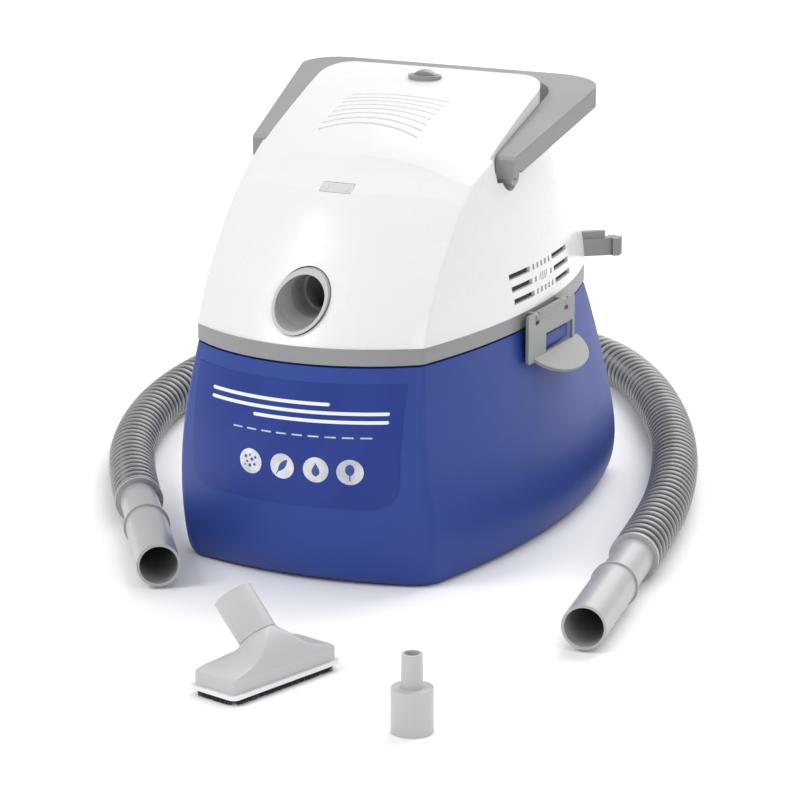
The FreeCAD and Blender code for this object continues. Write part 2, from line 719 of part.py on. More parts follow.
def hinge_line(side):
    """End points of the hinge pin."""
    reach = EAR_IN + EAR_T
    return (side * hinge_x(), LATCH_Y - reach, HINGE_Z), (side * hinge_x(), LATCH_Y + reach, HINGE_Z)


def hinge_ears():
    """Two ears on the right of the band that hold the pin."""
    ears = []
    for y0 in (LATCH_Y - EAR_IN - EAR_T, LATCH_Y + EAR_IN):
        block = box(RIM.side_x(y0) - 2.0, hinge_x(), y0, y0 + EAR_T, HINGE_Z - KNUCKLE_R, HINGE_Z + KNUCKLE_R)
        nose = rod(KNUCKLE_R, (hinge_x(), y0, HINGE_Z), (hinge_x(), y0 + EAR_T, HINGE_Z))
        ears.append(block.fuse(nose))
    return ears


def latch_pins():
    """Two steel hinge pins."""
    return compound([rod(LATCH_PIN_R, *hinge_line(s)) for s in (1, -1)])


def latch_right():
    """Over-centre clip: a plate with a window over the catch and a half-round thumb tab."""
    z0, z1 = TANK_H - 29, HINGE_Z + KNUCKLE_R
    x0 = RIM.side_x(LATCH_Y) + LATCH_OFF
    x1 = x0 + LATCH_T
    plate = box(x0, x1, LATCH_Y - LATCH_HALF, LATCH_Y + LATCH_HALF, z0, z1)
    corners = [e for e in plate.Edges
               if abs(e.BoundBox.XLength - LATCH_T) < 0.01 and e.BoundBox.ZLength < 0.01]
    plate = plate.makeFillet(3.0, corners)
    lug_z = TANK_H - 24
    window = box(x0 - 1, x1 + 1, LUG_Y - LUG_HALF - 3, LUG_Y + LUG_HALF + 3, lug_z - 1.5, lug_z + 14)
    ear_room = [box(x0 - 9, x0 + 1.2 + KNUCKLE_R, y - 0.8, y + EAR_T + 0.8, HINGE_Z - 6, HINGE_Z + 6)
                for y in (LATCH_Y - EAR_IN - EAR_T, LATCH_Y + EAR_IN)]
    knuckle = rod(KNUCKLE_R, (hinge_x(), LATCH_Y - EAR_IN + 0.5, HINGE_Z),
                  (hinge_x(), LATCH_Y + EAR_IN - 0.5, HINGE_Z))
    plate = fuse([plate.cut([window] + ear_room), knuckle])
    plate = plate.cut(rod(LATCH_PIN_R + SLIDE_GAP, *hinge_line(1)))
    half, reach = 46.0, 27.0
    ellipse = Part.Ellipse(V(0, 0, 0), half, reach)
    disc = Part.Face(Part.Wire([ellipse.toShape()])).extrude(V(0, 0, LATCH_T))
    disc = disc.common(box(-half - 1, half + 1, -reach - 1, 0.2, -1, LATCH_T + 1))
    disc.rotate(V(0, 0, 0), V(0, 0, 1), 90)
    disc.rotate(V(0, 0, 0), V(0, 1, 0), 32)
    disc.translate(V(x0 + 0.4, LATCH_Y + 10, z0 + 1.2))
    return fuse([plate, disc])


def latch_left():
    """The same clip on the left."""
    return mirrored(latch_right())


# ---------------------------------------------------------------- switch


STEM_R = 3.0
BUTTON_LOW = 14.0         # depth of the switch body's top below the hood


def switch_bezel():
    """Oval grey bezel round the push button."""
    top = hood_top(BUTTON_Y)
    rim = oval(BUTTON_A, BUTTON_B + 0.6, BUTTON_Y, top + 0.4, top + 2.6)
    skirt = oval(BUTTON_A - 2.2, BUTTON_B - 2.2, BUTTON_Y, top - 8, top + 2)
    skirt = skirt.fuse(oval(BUTTON_A, BUTTON_B + 0.6, BUTTON_Y, top - 2, top + 1).cut(hood(-0.02)))
    room = oval(BUTTON_A - 4.4, BUTTON_B - 3.6, BUTTON_Y, top - 9, top + 4)
    return largest(rim.fuse(skirt).cut(room).cut(hood_top_skin()))


def hood_top_skin():
    """The hood wall round the bezel, which the bezel sits on."""
    top = hood_top(BUTTON_Y)
    hole = oval(BUTTON_A - 2, BUTTON_B - 2, BUTTON_Y, top - 20, top + 20)
    near = box(-40, 40, BUTTON_Y - 25, BUTTON_Y + 25, top - 30, top + 30)
    return hood().cut(hood(WALL)).common(near).cut(hole)


def power_button():
    """Domed push button on a stem."""
    top = hood_top(BUTTON_Y)
    cap = oval(BUTTON_A - 5, BUTTON_B - 4.2, BUTTON_Y, top - 3, top + 9)
    dome = Part.makeSphere(12.5, V(0, BUTTON_Y, top - 5.3))
    cap = cap.common(dome.fuse(oval(BUTTON_A - 5, BUTTON_B - 4.2, BUTTON_Y, top - 3, top - 1)))
    stem = rod(STEM_R, (0, BUTTON_Y, top - BUTTON_LOW - 4), (0, BUTTON_Y, top - 2))
    return fuse([cap, stem])


def button_spring():
    """Return spring round the stem, as a plain sleeve."""
    top = hood_top(BUTTON_Y)
    return tube(STEM_R + 1.2, STEM_R + 0.5, (0, BUTTON_Y, top - BUTTON_LOW), (0, BUTTON_Y, top - 3))


def switch_body():
    """Rocker switch block hung under the hood, with a guide hole for the stem."""
    top = hood_top(BUTTON_Y)
    block = box(-12, 12, BUTTON_Y - 8, BUTTON_Y + 8, top - BUTTON_LOW - 14, top - BUTTON_LOW)
    guide = rod(STEM_R + SLIDE_GAP, (0, BUTTON_Y, top - BUTTON_LOW - 10), (0, BUTTON_Y, top))
    arms = [box(x, x + 2, BUTTON_Y - 6, BUTTON_Y + 6, top - BUTTON_LOW - 2, top - WALL + 1)
            for x in (-18, 16)]
    feet = [box(-18, -11.9, BUTTON_Y - 6, BUTTON_Y + 6, top - BUTTON_LOW - 4, top - BUTTON_LOW - 1.9),
            box(11.9, 18, BUTTON_Y - 6, BUTTON_Y + 6, top - BUTTON_LOW - 4, top - BUTTON_LOW - 1.9)]
    body = fuse([block.cut(guide)] + arms + feet)
    low = top - BUTTON_LOW
    terminals = [box(x - 0.5, x + 0.5, BUTTON_Y - 3, BUTTON_Y + 3, low - 22, low - 13) for x in (-7, 0, 7)]
    return fuse([body] + terminals).common(hood(WALL + 0.02))


# ---------------------------------------------------------------- rear fittings


def cord_hooks():
    """Two cord hooks on the rear corners: a long bar with a round end and a short one above it."""
    bars = [box(HOOK_REACH - 10, HOOK_REACH - 4, -8, 8, 0, 15)]
    for reach, thick, low, high in ((HOOK_REACH, 9.0, 0, 15), (HOOK_REACH - 15, 6.0, 14, 21)):
        end = reach - thick / 2
        bars += [box(0, end, -thick / 2, thick / 2, low, high), rod(thick / 2, (end, 0, low), (end, 0, high))]
    hook = fuse(bars)
    hook.rotate(V(0, 0, 0), V(0, 0, 1), HOOK_TURN)
    hook.translate(V(HOOK_X, REAR_Y - 30, HOOK_Z))
    hook = largest(hook.cut(head_outer(0.0)))
    return compound([hook, mirrored(hook)])


def cord_gland():
    """Strain relief in the rear wall where the mains cord would enter."""
    return gland_outer().cut(rod(GLAND_R, (GLAND_X, REAR_Y - 15, GLAND_Z), (GLAND_X, REAR_Y + 23, GLAND_Z)))


# ---------------------------------------------------------------- motor and fan


def turned(profile):
    """Body of revolution about the motor axis from (radius, z) points."""
    points = [V(r, MOTOR_Y, z) for r, z in profile]
    face = Part.Face(Part.makePolygon(points + [points[0]]))
    return face.revolve(V(0, MOTOR_Y, 0), V(0, 0, 1), 360)


def fan_casing():
    """Two-part fan chamber with an eye below, a neck above and an outlet to the rear."""
    z0, z1 = CASING_Z, MOTOR_Z
    r = CASING_R
    body = turned([(30, z0), (r + 9, z0), (r + 9, z0 + 3), (r, z0 + 3), (r, z1), (SHAFT_R + 8, z1),
                   (SHAFT_R + 8, z1 - 3), (r - 3, z1 - 3), (r - 3, z0 + 3), (30, z0 + 3)])
    vents = [rod(5, (MOTOR_R * 0.72 * math.cos(t), MOTOR_Y + MOTOR_R * 0.72 * math.sin(t), z1 - 5),
                 (MOTOR_R * 0.72 * math.cos(t), MOTOR_Y + MOTOR_R * 0.72 * math.sin(t), z1 + 2))
             for t in (math.radians(60 * i) for i in range(6))]
    outlet = box(-14, 14, MOTOR_Y + r - 8, MOTOR_Y + r + 2, z0 + 8, z1 - 8)
    body = body.cut(vents + [outlet])
    for x, y in deck_screw_places():
        body = body.cut(rod(1.7, (x, y, 0), (x, y, 300)))
    return body


def motor_gasket():
    """Foam ring between the deck and the fan casing."""
    return turned([(32, BAND_TOP), (CASING_R - 2, BAND_TOP), (CASING_R - 2, CASING_Z), (32, CASING_Z)])


def deck_screws():
    """Four screws through the casing flange."""
    screws = []
    for x, y in deck_screw_places():
        z = CASING_Z + 3
        head = rod(3.2, (x, y, z), (x, y, z + 2.2))
        screws.append(fuse([head, rod(1.6, (x, y, DECK_Z - 2), (x, y, z + 1))]))
    return compound(screws)


def impeller():
    """Fan with a hub, a back plate, a shroud and curved blades."""
    z0, z1 = CASING_Z + 6, MOTOR_Z - 6
    r = CASING_R - 5
    hub_r = SHAFT_R + 5
    hub = turned([(SHAFT_R, z0), (hub_r, z0), (hub_r, z1 - 1), (r, z1 - 1), (r, z1), (SHAFT_R, z1)])
    shroud = turned([(26, z0 + 1), (r, z0 + 7), (r, z0 + 8), (26, z0 + 2)])
    blades = []
    for i in range(9):
        blade = Part.makeCylinder(42, z1 - z0 - 4, V(36, MOTOR_Y, z0 + 3.6))
        blade = blade.cut(Part.makeCylinder(40.6, z1 - z0 + 4, V(36, MOTOR_Y, z0)))
        blade = blade.common(box(-r, r, MOTOR_Y, MOTOR_Y + r, z0, z1 - 0.5))
        blade = blade.common(turned([(hub_r - 1, z0 + 1), (26, z0 + 1.4), (r - 1, z0 + 7.4),
                                     (r - 1, z1 - 0.5), (hub_r - 1, z1 - 0.5)]))
        blade.rotate(V(0, MOTOR_Y, 0), V(0, 0, 1), 40 * i)
        blades.append(blade)
    return fuse([hub, shroud] + blades)


def motor_housing():
    """Ribbed motor can with a bearing bridge at each end."""
    z0, z1 = MOTOR_Z, MOTOR_Z + MOTOR_H
    r = MOTOR_R
    body = turned([(9, z0), (r, z0), (r, z1), (9, z1), (9, z1 - 3), (r - 2.5, z1 - 3), (r - 2.5, z0 + 3),
                   (9, z0 + 3)])
    windows = []
    for i in range(6):
        cut = box(-6, 6, MOTOR_Y + r - 8, MOTOR_Y + r + 3, z0 + 10, z1 - 42)
        cut.rotate(V(0, MOTOR_Y, 0), V(0, 0, 1), 60 * i + 30)
        windows.append(cut)
        hole = rod(7, (0, MOTOR_Y + 26, z1 - 6), (0, MOTOR_Y + 26, z1 + 2))
        hole.rotate(V(0, MOTOR_Y, 0), V(0, 0, 1), 60 * i)
        windows.append(hole)
        low = rod(6, (0, MOTOR_Y + 28, z0 - 2), (0, MOTOR_Y + 28, z0 + 6))
        low.rotate(V(0, MOTOR_Y, 0), V(0, 0, 1), 60 * i)
        windows.append(low)
    return body.cut(windows)


def bearing(z):
    """Ball bearing drawn as a plain ring, pressed in the bridge."""
    return turned([(SHAFT_R + SLIDE_GAP, z), (9, z), (9, z + 7), (SHAFT_R + SLIDE_GAP, z + 7)])


def bearings():
    """Upper and lower bearings."""
    return compound([bearing(MOTOR_Z - 1), bearing(MOTOR_Z + MOTOR_H - 6)])


STACK_Z0 = MOTOR_Z + 16
STACK_Z1 = MOTOR_Z + 48


def stator():
    """Laminated stator between two steel field coils."""
    inner = ROTOR_R + AIR_GAP
    outer = MOTOR_R - 2.5
    core = turned([(inner, STACK_Z0), (outer, STACK_Z0), (outer, STACK_Z1), (inner, STACK_Z1)])
    slots = []
    for i in range(2):
        slot = box(-9, 9, MOTOR_Y + inner + 2, MOTOR_Y + outer - 7, STACK_Z0 - 1, STACK_Z1 + 1)
        slot.rotate(V(0, MOTOR_Y, 0), V(0, 0, 1), 180 * i)
        slots.append(slot)
    return core.cut(slots)


def field_coils():
    """Copper coils that pass through the stator."""
    inner = ROTOR_R + AIR_GAP
    coils = []
    for i in range(2):
        coil = box(-9, 9, MOTOR_Y + inner + 2, MOTOR_Y + MOTOR_R - 9.5, STACK_Z0 - 6, STACK_Z1 + 5)
        coil = coil.makeFillet(2.0, [e for e in coil.Edges if abs(e.BoundBox.YLength) > 5])
        coil.rotate(V(0, MOTOR_Y, 0), V(0, 0, 1), 180 * i)
        coils.append(coil)
    return compound(coils)


def armature():
    """Rotor stack with its windings."""
    stack = turned([(SHAFT_R, STACK_Z0), (ROTOR_R, STACK_Z0), (ROTOR_R, STACK_Z1), (SHAFT_R, STACK_Z1)])
    grooves_cut = []
    for i in range(12):
        cut = box(-1, 1, MOTOR_Y + ROTOR_R - 3, MOTOR_Y + ROTOR_R + 1, STACK_Z0 - 1, STACK_Z1 + 1)
        cut.rotate(V(0, MOTOR_Y, 0), V(0, 0, 1), 30 * i)
        grooves_cut.append(cut)
    winding = turned([(SHAFT_R, STACK_Z0 - 7), (ROTOR_R - 6, STACK_Z0 - 7), (ROTOR_R - 3.2, STACK_Z0),
                      (ROTOR_R - 3.2, STACK_Z1), (ROTOR_R - 6, STACK_Z1 + 6), (SHAFT_R, STACK_Z1 + 6)])
    return fuse([stack.cut(grooves_cut), winding])


def commutator():
    """Segmented copper commutator above the windings."""
    z0, z1 = STACK_Z1 + 6, STACK_Z1 + 20
    body = turned([(SHAFT_R, z0), (11, z0), (11, z1), (SHAFT_R, z1)])
    cuts = []
    for i in range(12):
        cut = box(-0.4, 0.4, MOTOR_Y + 10, MOTOR_Y + 12, z0 - 1, z1 + 1)
        cut.rotate(V(0, MOTOR_Y, 0), V(0, 0, 1), 30 * i)
        cuts.append(cut)
    return body.cut(cuts)


def carbon_brushes():
    """Two carbon brushes that ride beside the commutator."""
    z0 = STACK_Z1 + 9
    pair = []
    for side in (-1, 1):
        x0, x1 = sorted((side * 11.4, side * 27.0))
        pair.append(box(x0, x1, MOTOR_Y - 3, MOTOR_Y + 3, z0, z0 + 7))
    return compound(pair)


def brush_holders():
    """Brass holders fixed in the motor can."""
    z0 = STACK_Z1 + 9
    pair = []
    for side in (-1, 1):
        x0, x1 = sorted((side * 14.0, side * (MOTOR_R - 2.5)))
        block = box(x0, x1, MOTOR_Y - 5, MOTOR_Y + 5, z0 - 2, z0 + 9)
        k0, k1 = sorted((side * 10.0, side * 27.0))
        block = block.cut(box(k0, k1, MOTOR_Y - 3, MOTOR_Y + 3, z0, z0 + 7))
        can = rod(MOTOR_R - 2.5, (0, MOTOR_Y, z0 - 3), (0, MOTOR_Y, z0 + 10))
        pair.append(block.common(can))
    return compound(pair)


def motor_shaft():
    """Steel shaft from the fan to the cooling fan."""
    z0, z1 = CASING_Z + 4, MOTOR_Z + MOTOR_H + 16
    return rod(SHAFT_R, (0, MOTOR_Y, z0), (0, MOTOR_Y, z1))


def cooling_fan():
    """Small open fan on top of the motor."""
    z0 = MOTOR_Z + MOTOR_H + 3
    hub = turned([(SHAFT_R, z0), (11, z0), (11, z0 + 8), (SHAFT_R, z0 + 8)])
    plate = turned([(10, z0), (34, z0), (34, z0 + 1.2), (10, z0 + 1.2)])
    blades = []
    for i in range(8):
        blade = box(-0.7, 0.7, MOTOR_Y + 10, MOTOR_Y + 33, z0 + 1, z0 + 8)
        blade.rotate(V(0, MOTOR_Y, 0), V(0, 0, 1), 45 * i)
        blades.append(blade)
    return fuse([hub, plate] + blades)


def shaft_nut():
    """Hexagonal nut under the fan."""
    z0 = CASING_Z + 0.5
    points = [(7.5 * math.cos(math.radians(60 * i)), MOTOR_Y + 7.5 * math.sin(math.radians(60 * i)), z0)
              for i in range(6)]
    nut = prism(points, (0, 0, 5.5))
    return nut.cut(rod(SHAFT_R, (0, MOTOR_Y, z0 + 3.5), (0, MOTOR_Y, z0 + 9)))


def exhaust_foam():
    """Dark foam pads behind the side slots."""
    z0, z1 = SLOT_Z - 5, SLOT_Z + SLOT_PITCH * 2 + SLOT_H + 6
    block = box(HALF_W - 20, HALF_W + 40, -52, 94, z0, z1)
    pad = head_outer(WALL + 0.3).cut(head_outer(WALL + 5.3)).common(block)
    pad = largest(pad)
    return compound([pad, mirrored(pad)])


# ---------------------------------------------------------------- filter and float


def filter_cage():
    """Slotted cage under the deck that holds the float."""
    z1 = DECK_Z
    z0 = z1 - CAGE_H
    r = CAGE_R
    body = turned([(0.0, z0), (r, z0), (r, z1), (r - 14, z1), (r - 14, z1 - 3), (r - 3, z1 - 3),
                   (r - 3, z0 + 3), (0.0, z0 + 3)])
    cuts = []
    for i in range(12):
        cut = box(-8, 8, MOTOR_Y + r - 6, MOTOR_Y + r + 2, z0 + 8, z1 - 12)
        cut.rotate(V(0, MOTOR_Y, 0), V(0, 0, 1), 30 * i + 15)
        cuts.append(cut)
    body = body.cut(cuts)
    post = rod(4, (0, MOTOR_Y, z0 + 2), (0, MOTOR_Y, z1 - 14))
    body = fuse([body, post])
    for x, y in cage_screw_places():
        body = body.cut(rod(1.7, (x, y, z1 - 6), (x, y, z1 + 1)))
    return body


def cage_screws():
    """Four screws from the cage into the deck."""
    screws = []
    for x, y in cage_screw_places():
        screws.append(fuse([rod(1.6, (x, y, DECK_Z - 4), (x, y, BAND_TOP)),
                            rod(3.0, (x, y, DECK_Z - 5.2), (x, y, DECK_Z - 3))]))
    return compound(screws)


FLOAT_TRAVEL = 14.0


def float_cup():
    """Float that rises on the post and shuts the fan eye."""
    z0 = DECK_Z - CAGE_H + 6
    body = turned([(4 + 0.5, z0), (26, z0), (32, z0 + 6), (32, z0 + 34), (26, z0 + 40), (4.5, z0 + 40)])
    inside = turned([(4.5 + 3, z0 - 1), (23, z0 - 1), (29, z0 + 7), (29, z0 + 32), (7.5, z0 + 36)])
    return body.cut(inside)


def filter_sleeve():
    """Foam sleeve round the cage."""
    z1 = DECK_Z - 1
    r = CAGE_R + FREE_GAP
    return turned([(r, z1 - CAGE_H + 6), (r + FILTER_T, z1 - CAGE_H + 6), (r + FILTER_T, z1), (r, z1)])


def filter_ring():
    """Retaining ring that clips below the foam sleeve."""
    z1 = DECK_Z - 1 - CAGE_H + 6
    r = CAGE_R
    return turned([(r + 0.1, z1 - 5), (r + FILTER_T, z1 - 5), (r + FILTER_T, z1), (r + 0.1, z1)])


def head_screws():
    """Four screws that hold the hood to the band."""
    screws = []
    for x, y in boss_places():
        z = DECK_Z
        screws.append(fuse([rod(3.0, (x, y, z - 2.2), (x, y, z)), rod(1.6, (x, y, z - 1), (x, y, z + 20))]))
    return compound(screws)


# ---------------------------------------------------------------- hose


# Route of the hose on the floor, from the machine cuff to the tool cuff.
HOSE_Z = HOSE_OD / 2
HOSE_ROUTE = [(-186, -114), (-245, -27), (-294, 78), (-325, 180), (-337, 285), (-330, 384), (-286, 472),
              (-204, 528), (-104, 540), (-12, 498), (58, 415), (114, 322), (162, 222), (200, 118),
              (228, 14), (245, -84)]
CUFF_NECK_OD = 32.0
CUFF_NECK = 74.0          # length of the slim neck next to the hose
CUFF_LEN = 108.0          # length of the sleeve that pushes in
CUFF_LIP_OD = 38.0


def hose_tube():
    """Corrugated hose as a plain round tube: straight runs joined by tangent arcs."""
    points = [V(x, y, HOSE_Z) for x, y in HOSE_ROUTE]
    edges = []
    start = points[0]
    for before, at, after in zip(points, points[1:], points[2:]):
        u, w = (at - before).normalize(), (after - at).normalize()
        turn = u.getAngle(w)
        cut = 0.45 * min((at - before).Length, (after - at).Length)
        radius = cut / math.tan(turn / 2)
        print("hose bend radius", round(radius))
        a, b = at - u * cut, at + w * cut
        centre = at + (w - u).normalize() * (radius / math.cos(turn / 2))
        middle = centre + (at - centre).normalize() * radius
        edges.append(Part.LineSegment(start, a).toShape())
        edges.append(Part.Arc(a, middle, b).toShape())
        start = b
    edges.append(Part.LineSegment(start, points[-1]).toShape())
    path = Part.Wire(edges)
    circle = Part.Wire([Part.Circle(points[0], points[1] - points[0], HOSE_OD / 2).toShape()])
    solid = path.makePipeShell([circle], True, False, 1)
    section = math.pi * (HOSE_OD / 2) ** 2
    print("hose length", round(path.Length), "volume ratio", round(solid.Volume / (section * path.Length), 4))
    return solid


def cuff(end, inward):
    """Hose cuff from the hose end outwards; end and inward are (x, y) points."""
    out = (V(end[0], end[1], 0) - V(inward[0], inward[1], 0)).normalize()
    foot = V(end[0], end[1], HOSE_Z)

    def piece(diameter, start, stop):
        return rod(diameter / 2, tuple(foot + out * start), tuple(foot + out * stop))

    length = CUFF_NECK + CUFF_LEN
    pieces = [piece(HOSE_OD, 0, 3), piece(CUFF_NECK_OD, 0, length),
              piece(CUFF_LIP_OD, CUFF_NECK, CUFF_NECK + 2), piece(CUFF_OD, CUFF_NECK, length)]
    return fuse(pieces).cut(piece(CUFF_BORE, CUFF_NECK, length + 1)).cut(piece(CUFF_NECK_OD - 5, -1, length))


def hose_cuff_machine():
    """Cuff that pushes into the inlet or the blower outlet."""
    return cuff(HOSE_ROUTE[0], HOSE_ROUTE[1])


def hose_cuff_tool():
    """Cuff that takes the tools."""
    return cuff(HOSE_ROUTE[-1], HOSE_ROUTE[-2])


# ---------------------------------------------------------------- tools


ADAPTER_X = 232.0
ADAPTER_Y = -470.0
ADAPTER_BIG_H = 33.0
ADAPTER_H = 58.0
ADAPTER_TIP_R = 7.4
TOOL_WALL = 1.8


def adapter():
    """Reducer that stands on its wide end."""
    r = CUFF_BORE / 2 - TOOL_GAP
    x, y = ADAPTER_X, ADAPTER_Y
    top = (x, y, ADAPTER_H)
    solid = fuse([rod(r, (x, y, 0), (x, y, ADAPTER_BIG_H)),
                  cone(ADAPTER_TIP_R + 0.6, ADAPTER_TIP_R, (x, y, ADAPTER_BIG_H - 0.5), top)])
    bore = fuse([rod(r - TOOL_WALL, (x, y, -1), (x, y, ADAPTER_BIG_H - TOOL_WALL)),
                 rod(ADAPTER_TIP_R - TOOL_WALL, (x, y, ADAPTER_BIG_H - 3), (x, y, ADAPTER_H + 1))])
    return solid.cut(bore)


NOZZLE_X = 91.5
NOZZLE_Y = -421.0
NOZZLE_TURN = 74.0        # heading of the nozzle's long side
NOZZLE_L = 114.0
NOZZLE_W = 46.0
BRISTLE_H = 5.0
RIM_H = 3.0
SHOULDER_Z = 18.0         # top of the nozzle's low ends
NECK_LEAN = 44.0          # lean of the collar from upright, in degrees
COLLAR_R = CUFF_BORE / 2 - TOOL_GAP
COLLAR_FOOT = (8.0, 34.0) # y and z where the collar begins
COLLAR_LEN = 36.0


def place_nozzle(shape):
    """Move a nozzle piece from its own frame to where it stands."""
    shape.rotate(V(0, 0, 0), V(0, 0, 1), NOZZLE_TURN)
    shape.translate(V(NOZZLE_X, NOZZLE_Y, 0))
    return shape


def rounded_slab(length, width, radius, z0, z1):
    """Rectangle with round corners, as a slab."""
    slab = box(-length / 2, length / 2, -width / 2, width / 2, z0, z1)
    return slab.makeFillet(radius, [e for e in slab.Edges if e.BoundBox.ZLength > abs(z1 - z0) - 0.01])


def round_section(a, b, radius, y, z, lean):
    """Rounded rectangle with half-sizes a and b, centred beside x = 0 and leant back."""
    tilt = math.radians(lean)
    bend = radius * (1 - math.sqrt(0.5))

    def at(u, v):
        return V(u, y + v * math.cos(tilt), z - v * math.sin(tilt))

    edges = []
    for sx, sy in ((1, 1), (-1, 1), (-1, -1), (1, -1)):
        first, last = (sx * a, sy * (b - radius)), (sx * (a - radius), sy * b)
        if sx * sy < 0:
            first, last = last, first
        middle = (sx * (a - bend), sy * (b - bend))
        edges.append(Part.Arc(at(*first), at(*middle), at(*last)).toShape())
        onward = (-sx * (a - radius), sy * b) if sx * sy > 0 else (sx * a, -sy * (b - radius))
        edges.append(Part.makeLine(at(*last), at(*onward)))
    return Part.Wire(edges)


def in_between(rows, parts):
    """Rows with parts steps in each span, on a smooth curve through the given ones."""
    made = []
    for i in range(len(rows) - 1):
        span = [rows[max(i - 1, 0)], rows[i], rows[i + 1], rows[min(i + 2, len(rows) - 1)]]
        for k in range(parts):
            t = k / parts
            made.append([0.5 * (2 * b + (c - a) * t + (2 * a - 5 * b + 4 * c - d) * t ** 2
                                + (3 * b - a - 3 * c + d) * t ** 3) for a, b, c, d in zip(*span)])
    return made + [list(rows[-1])]


def nozzle_solid(inset):
    """Low wide body and the flared neck of the nozzle, shrunk by inset."""
    z0 = BRISTLE_H + RIM_H
    length, width = NOZZLE_L / 2 - 2.5, NOZZLE_W / 2 - 2.5
    y, z = COLLAR_FOOT
    stations = [(length, width, 4, 0, SHOULDER_Z - 0.5, 0), (length - 3, width - 1, 4, 0, SHOULDER_Z + 2, 0),
                (36, width - 1.5, 5, 0.5, SHOULDER_Z + 4.5, 4), (26, width - 2.5, 7, 1.5, SHOULDER_Z + 8, 12),
                (19, width - 4, 10, y - 4, z - 4, 26),
                (COLLAR_R + 0.6, COLLAR_R + 0.2, COLLAR_R - 1, y - 1.4, z - 1.5, NECK_LEAN - 6),
                (COLLAR_R - 1, COLLAR_R - 1, COLLAR_R - 1.1, y, z, NECK_LEAN)]
    wires = [round_section(a - inset, b - inset, min(radius, min(a, b) - 0.1) - inset, at, up - inset, lean)
             for a, b, radius, at, up, lean in in_between(stations, 3)]
    skirt = Part.Face(round_section(length - inset, width - inset, 4 - inset, 0, z0, 0))
    return skirt.extrude(V(0, 0, SHOULDER_Z - inset - z0)).fuse(Part.makeLoft(wires, True, True))


def nozzle_body():
    """Upholstery nozzle: a wide mouth, a flared body and a leaning neck with a collar."""
    z0 = BRISTLE_H + RIM_H
    mouth = rounded_slab(NOZZLE_L - 14, NOZZLE_W - 14, 3, z0 - 1, z0 + 5)
    lean = math.radians(NECK_LEAN)
    along = V(0, math.sin(lean), math.cos(lean))
    foot = V(0, *COLLAR_FOOT) - along * 0.5
    end = foot + along * COLLAR_LEN
    collar = rod(COLLAR_R, tuple(foot), tuple(end))
    bore = rod(COLLAR_R - TOOL_WALL, tuple(foot - along * 3), tuple(end + along))
    body = nozzle_solid(0.0).fuse(collar).cut([nozzle_solid(TOOL_WALL), mouth, bore])
    return place_nozzle(largest(body))


def nozzle_rim():
    """White rim plate round the mouth."""
    slab = rounded_slab(NOZZLE_L, NOZZLE_W, 5, BRISTLE_H, BRISTLE_H + RIM_H)
    return place_nozzle(slab.cut(rounded_slab(NOZZLE_L - 14, NOZZLE_W - 14, 3, 0, 20)))


def nozzle_bristles():
    """Bristle strips below the rim, as plain bars with a gap at each corner."""
    strips = []
    for side in (-1, 1):
        y0, y1 = sorted((side * (NOZZLE_W / 2 - 2), side * (NOZZLE_W / 2 - 5)))
        strips.append(place_nozzle(box(-NOZZLE_L / 2 + 7, NOZZLE_L / 2 - 7, y0, y1, 0, BRISTLE_H)))
        x0, x1 = sorted((side * (NOZZLE_L / 2 - 2), side * (NOZZLE_L / 2 - 5)))
        strips.append(place_nozzle(box(x0, x1, -NOZZLE_W / 2 + 7, NOZZLE_W / 2 - 7, 0, BRISTLE_H)))
    return compound(strips)


# ---------------------------------------------------------------- export


NODES = [tank_shell, foot_pads, tank_label, head_shell, indicator_window, head_band, head_gasket, motor_deck,
         inlet_tube, inlet_seal, blower_outlet, handle_bail, handle_pins, latch_right, latch_left, latch_pins,
         switch_bezel, power_button, button_spring, switch_body, cord_hooks, cord_gland, fan_casing,
         motor_gasket, deck_screws, impeller, motor_housing, bearings, stator, field_coils, armature,
         commutator, carbon_brushes, brush_holders, motor_shaft, cooling_fan, shaft_nut, exhaust_foam,
         filter_cage, cage_screws, float_cup, filter_sleeve, filter_ring, head_screws, hose_tube,
         hose_cuff_machine, hose_cuff_tool, adapter, nozzle_body, nozzle_rim, nozzle_bristles]


def main():
    """Build every node and write it."""
    os.makedirs("parts", exist_ok=True)
    for make in NODES:
        shape = make()
        print(make.__name__, "valid" if shape.isValid() else "NOT VALID", len(shape.Solids), "solids",
              round(shape.Volume / 1000, 2), "cm3")
        shape.exportStep("parts/" + make.__name__ + ".step")


main()
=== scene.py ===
"""Shop vacuum: finishes, ribbed hose, bristles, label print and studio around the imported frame."""

import logging
import math
from collections.abc import Callable
from dataclasses import dataclass, field
from enum import Enum

import bmesh
import bpy
from mathutils import Matrix, Vector
from mathutils.bvhtree import BVHTree


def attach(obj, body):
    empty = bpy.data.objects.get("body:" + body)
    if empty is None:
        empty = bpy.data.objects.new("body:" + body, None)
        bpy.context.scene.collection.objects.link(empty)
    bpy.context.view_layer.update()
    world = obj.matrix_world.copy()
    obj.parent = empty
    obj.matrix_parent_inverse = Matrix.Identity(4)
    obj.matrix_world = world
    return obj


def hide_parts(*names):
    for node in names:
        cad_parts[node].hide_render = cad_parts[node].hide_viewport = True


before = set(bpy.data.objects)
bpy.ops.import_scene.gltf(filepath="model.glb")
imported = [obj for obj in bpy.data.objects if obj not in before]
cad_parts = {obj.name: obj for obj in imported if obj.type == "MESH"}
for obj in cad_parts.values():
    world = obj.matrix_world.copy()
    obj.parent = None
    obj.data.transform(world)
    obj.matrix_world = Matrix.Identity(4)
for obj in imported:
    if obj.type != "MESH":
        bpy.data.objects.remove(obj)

log = logging.getLogger("shop_vacuum")

Colour = tuple[float, float, float]
Pair = tuple[float, float]
Outline = Callable[[float], float]
MM = 0.001
SEED = 7
HOUSE_DUST = (0.52, 0.5, 0.47)
FLOOR_DUST = (0.55, 0.53, 0.5)


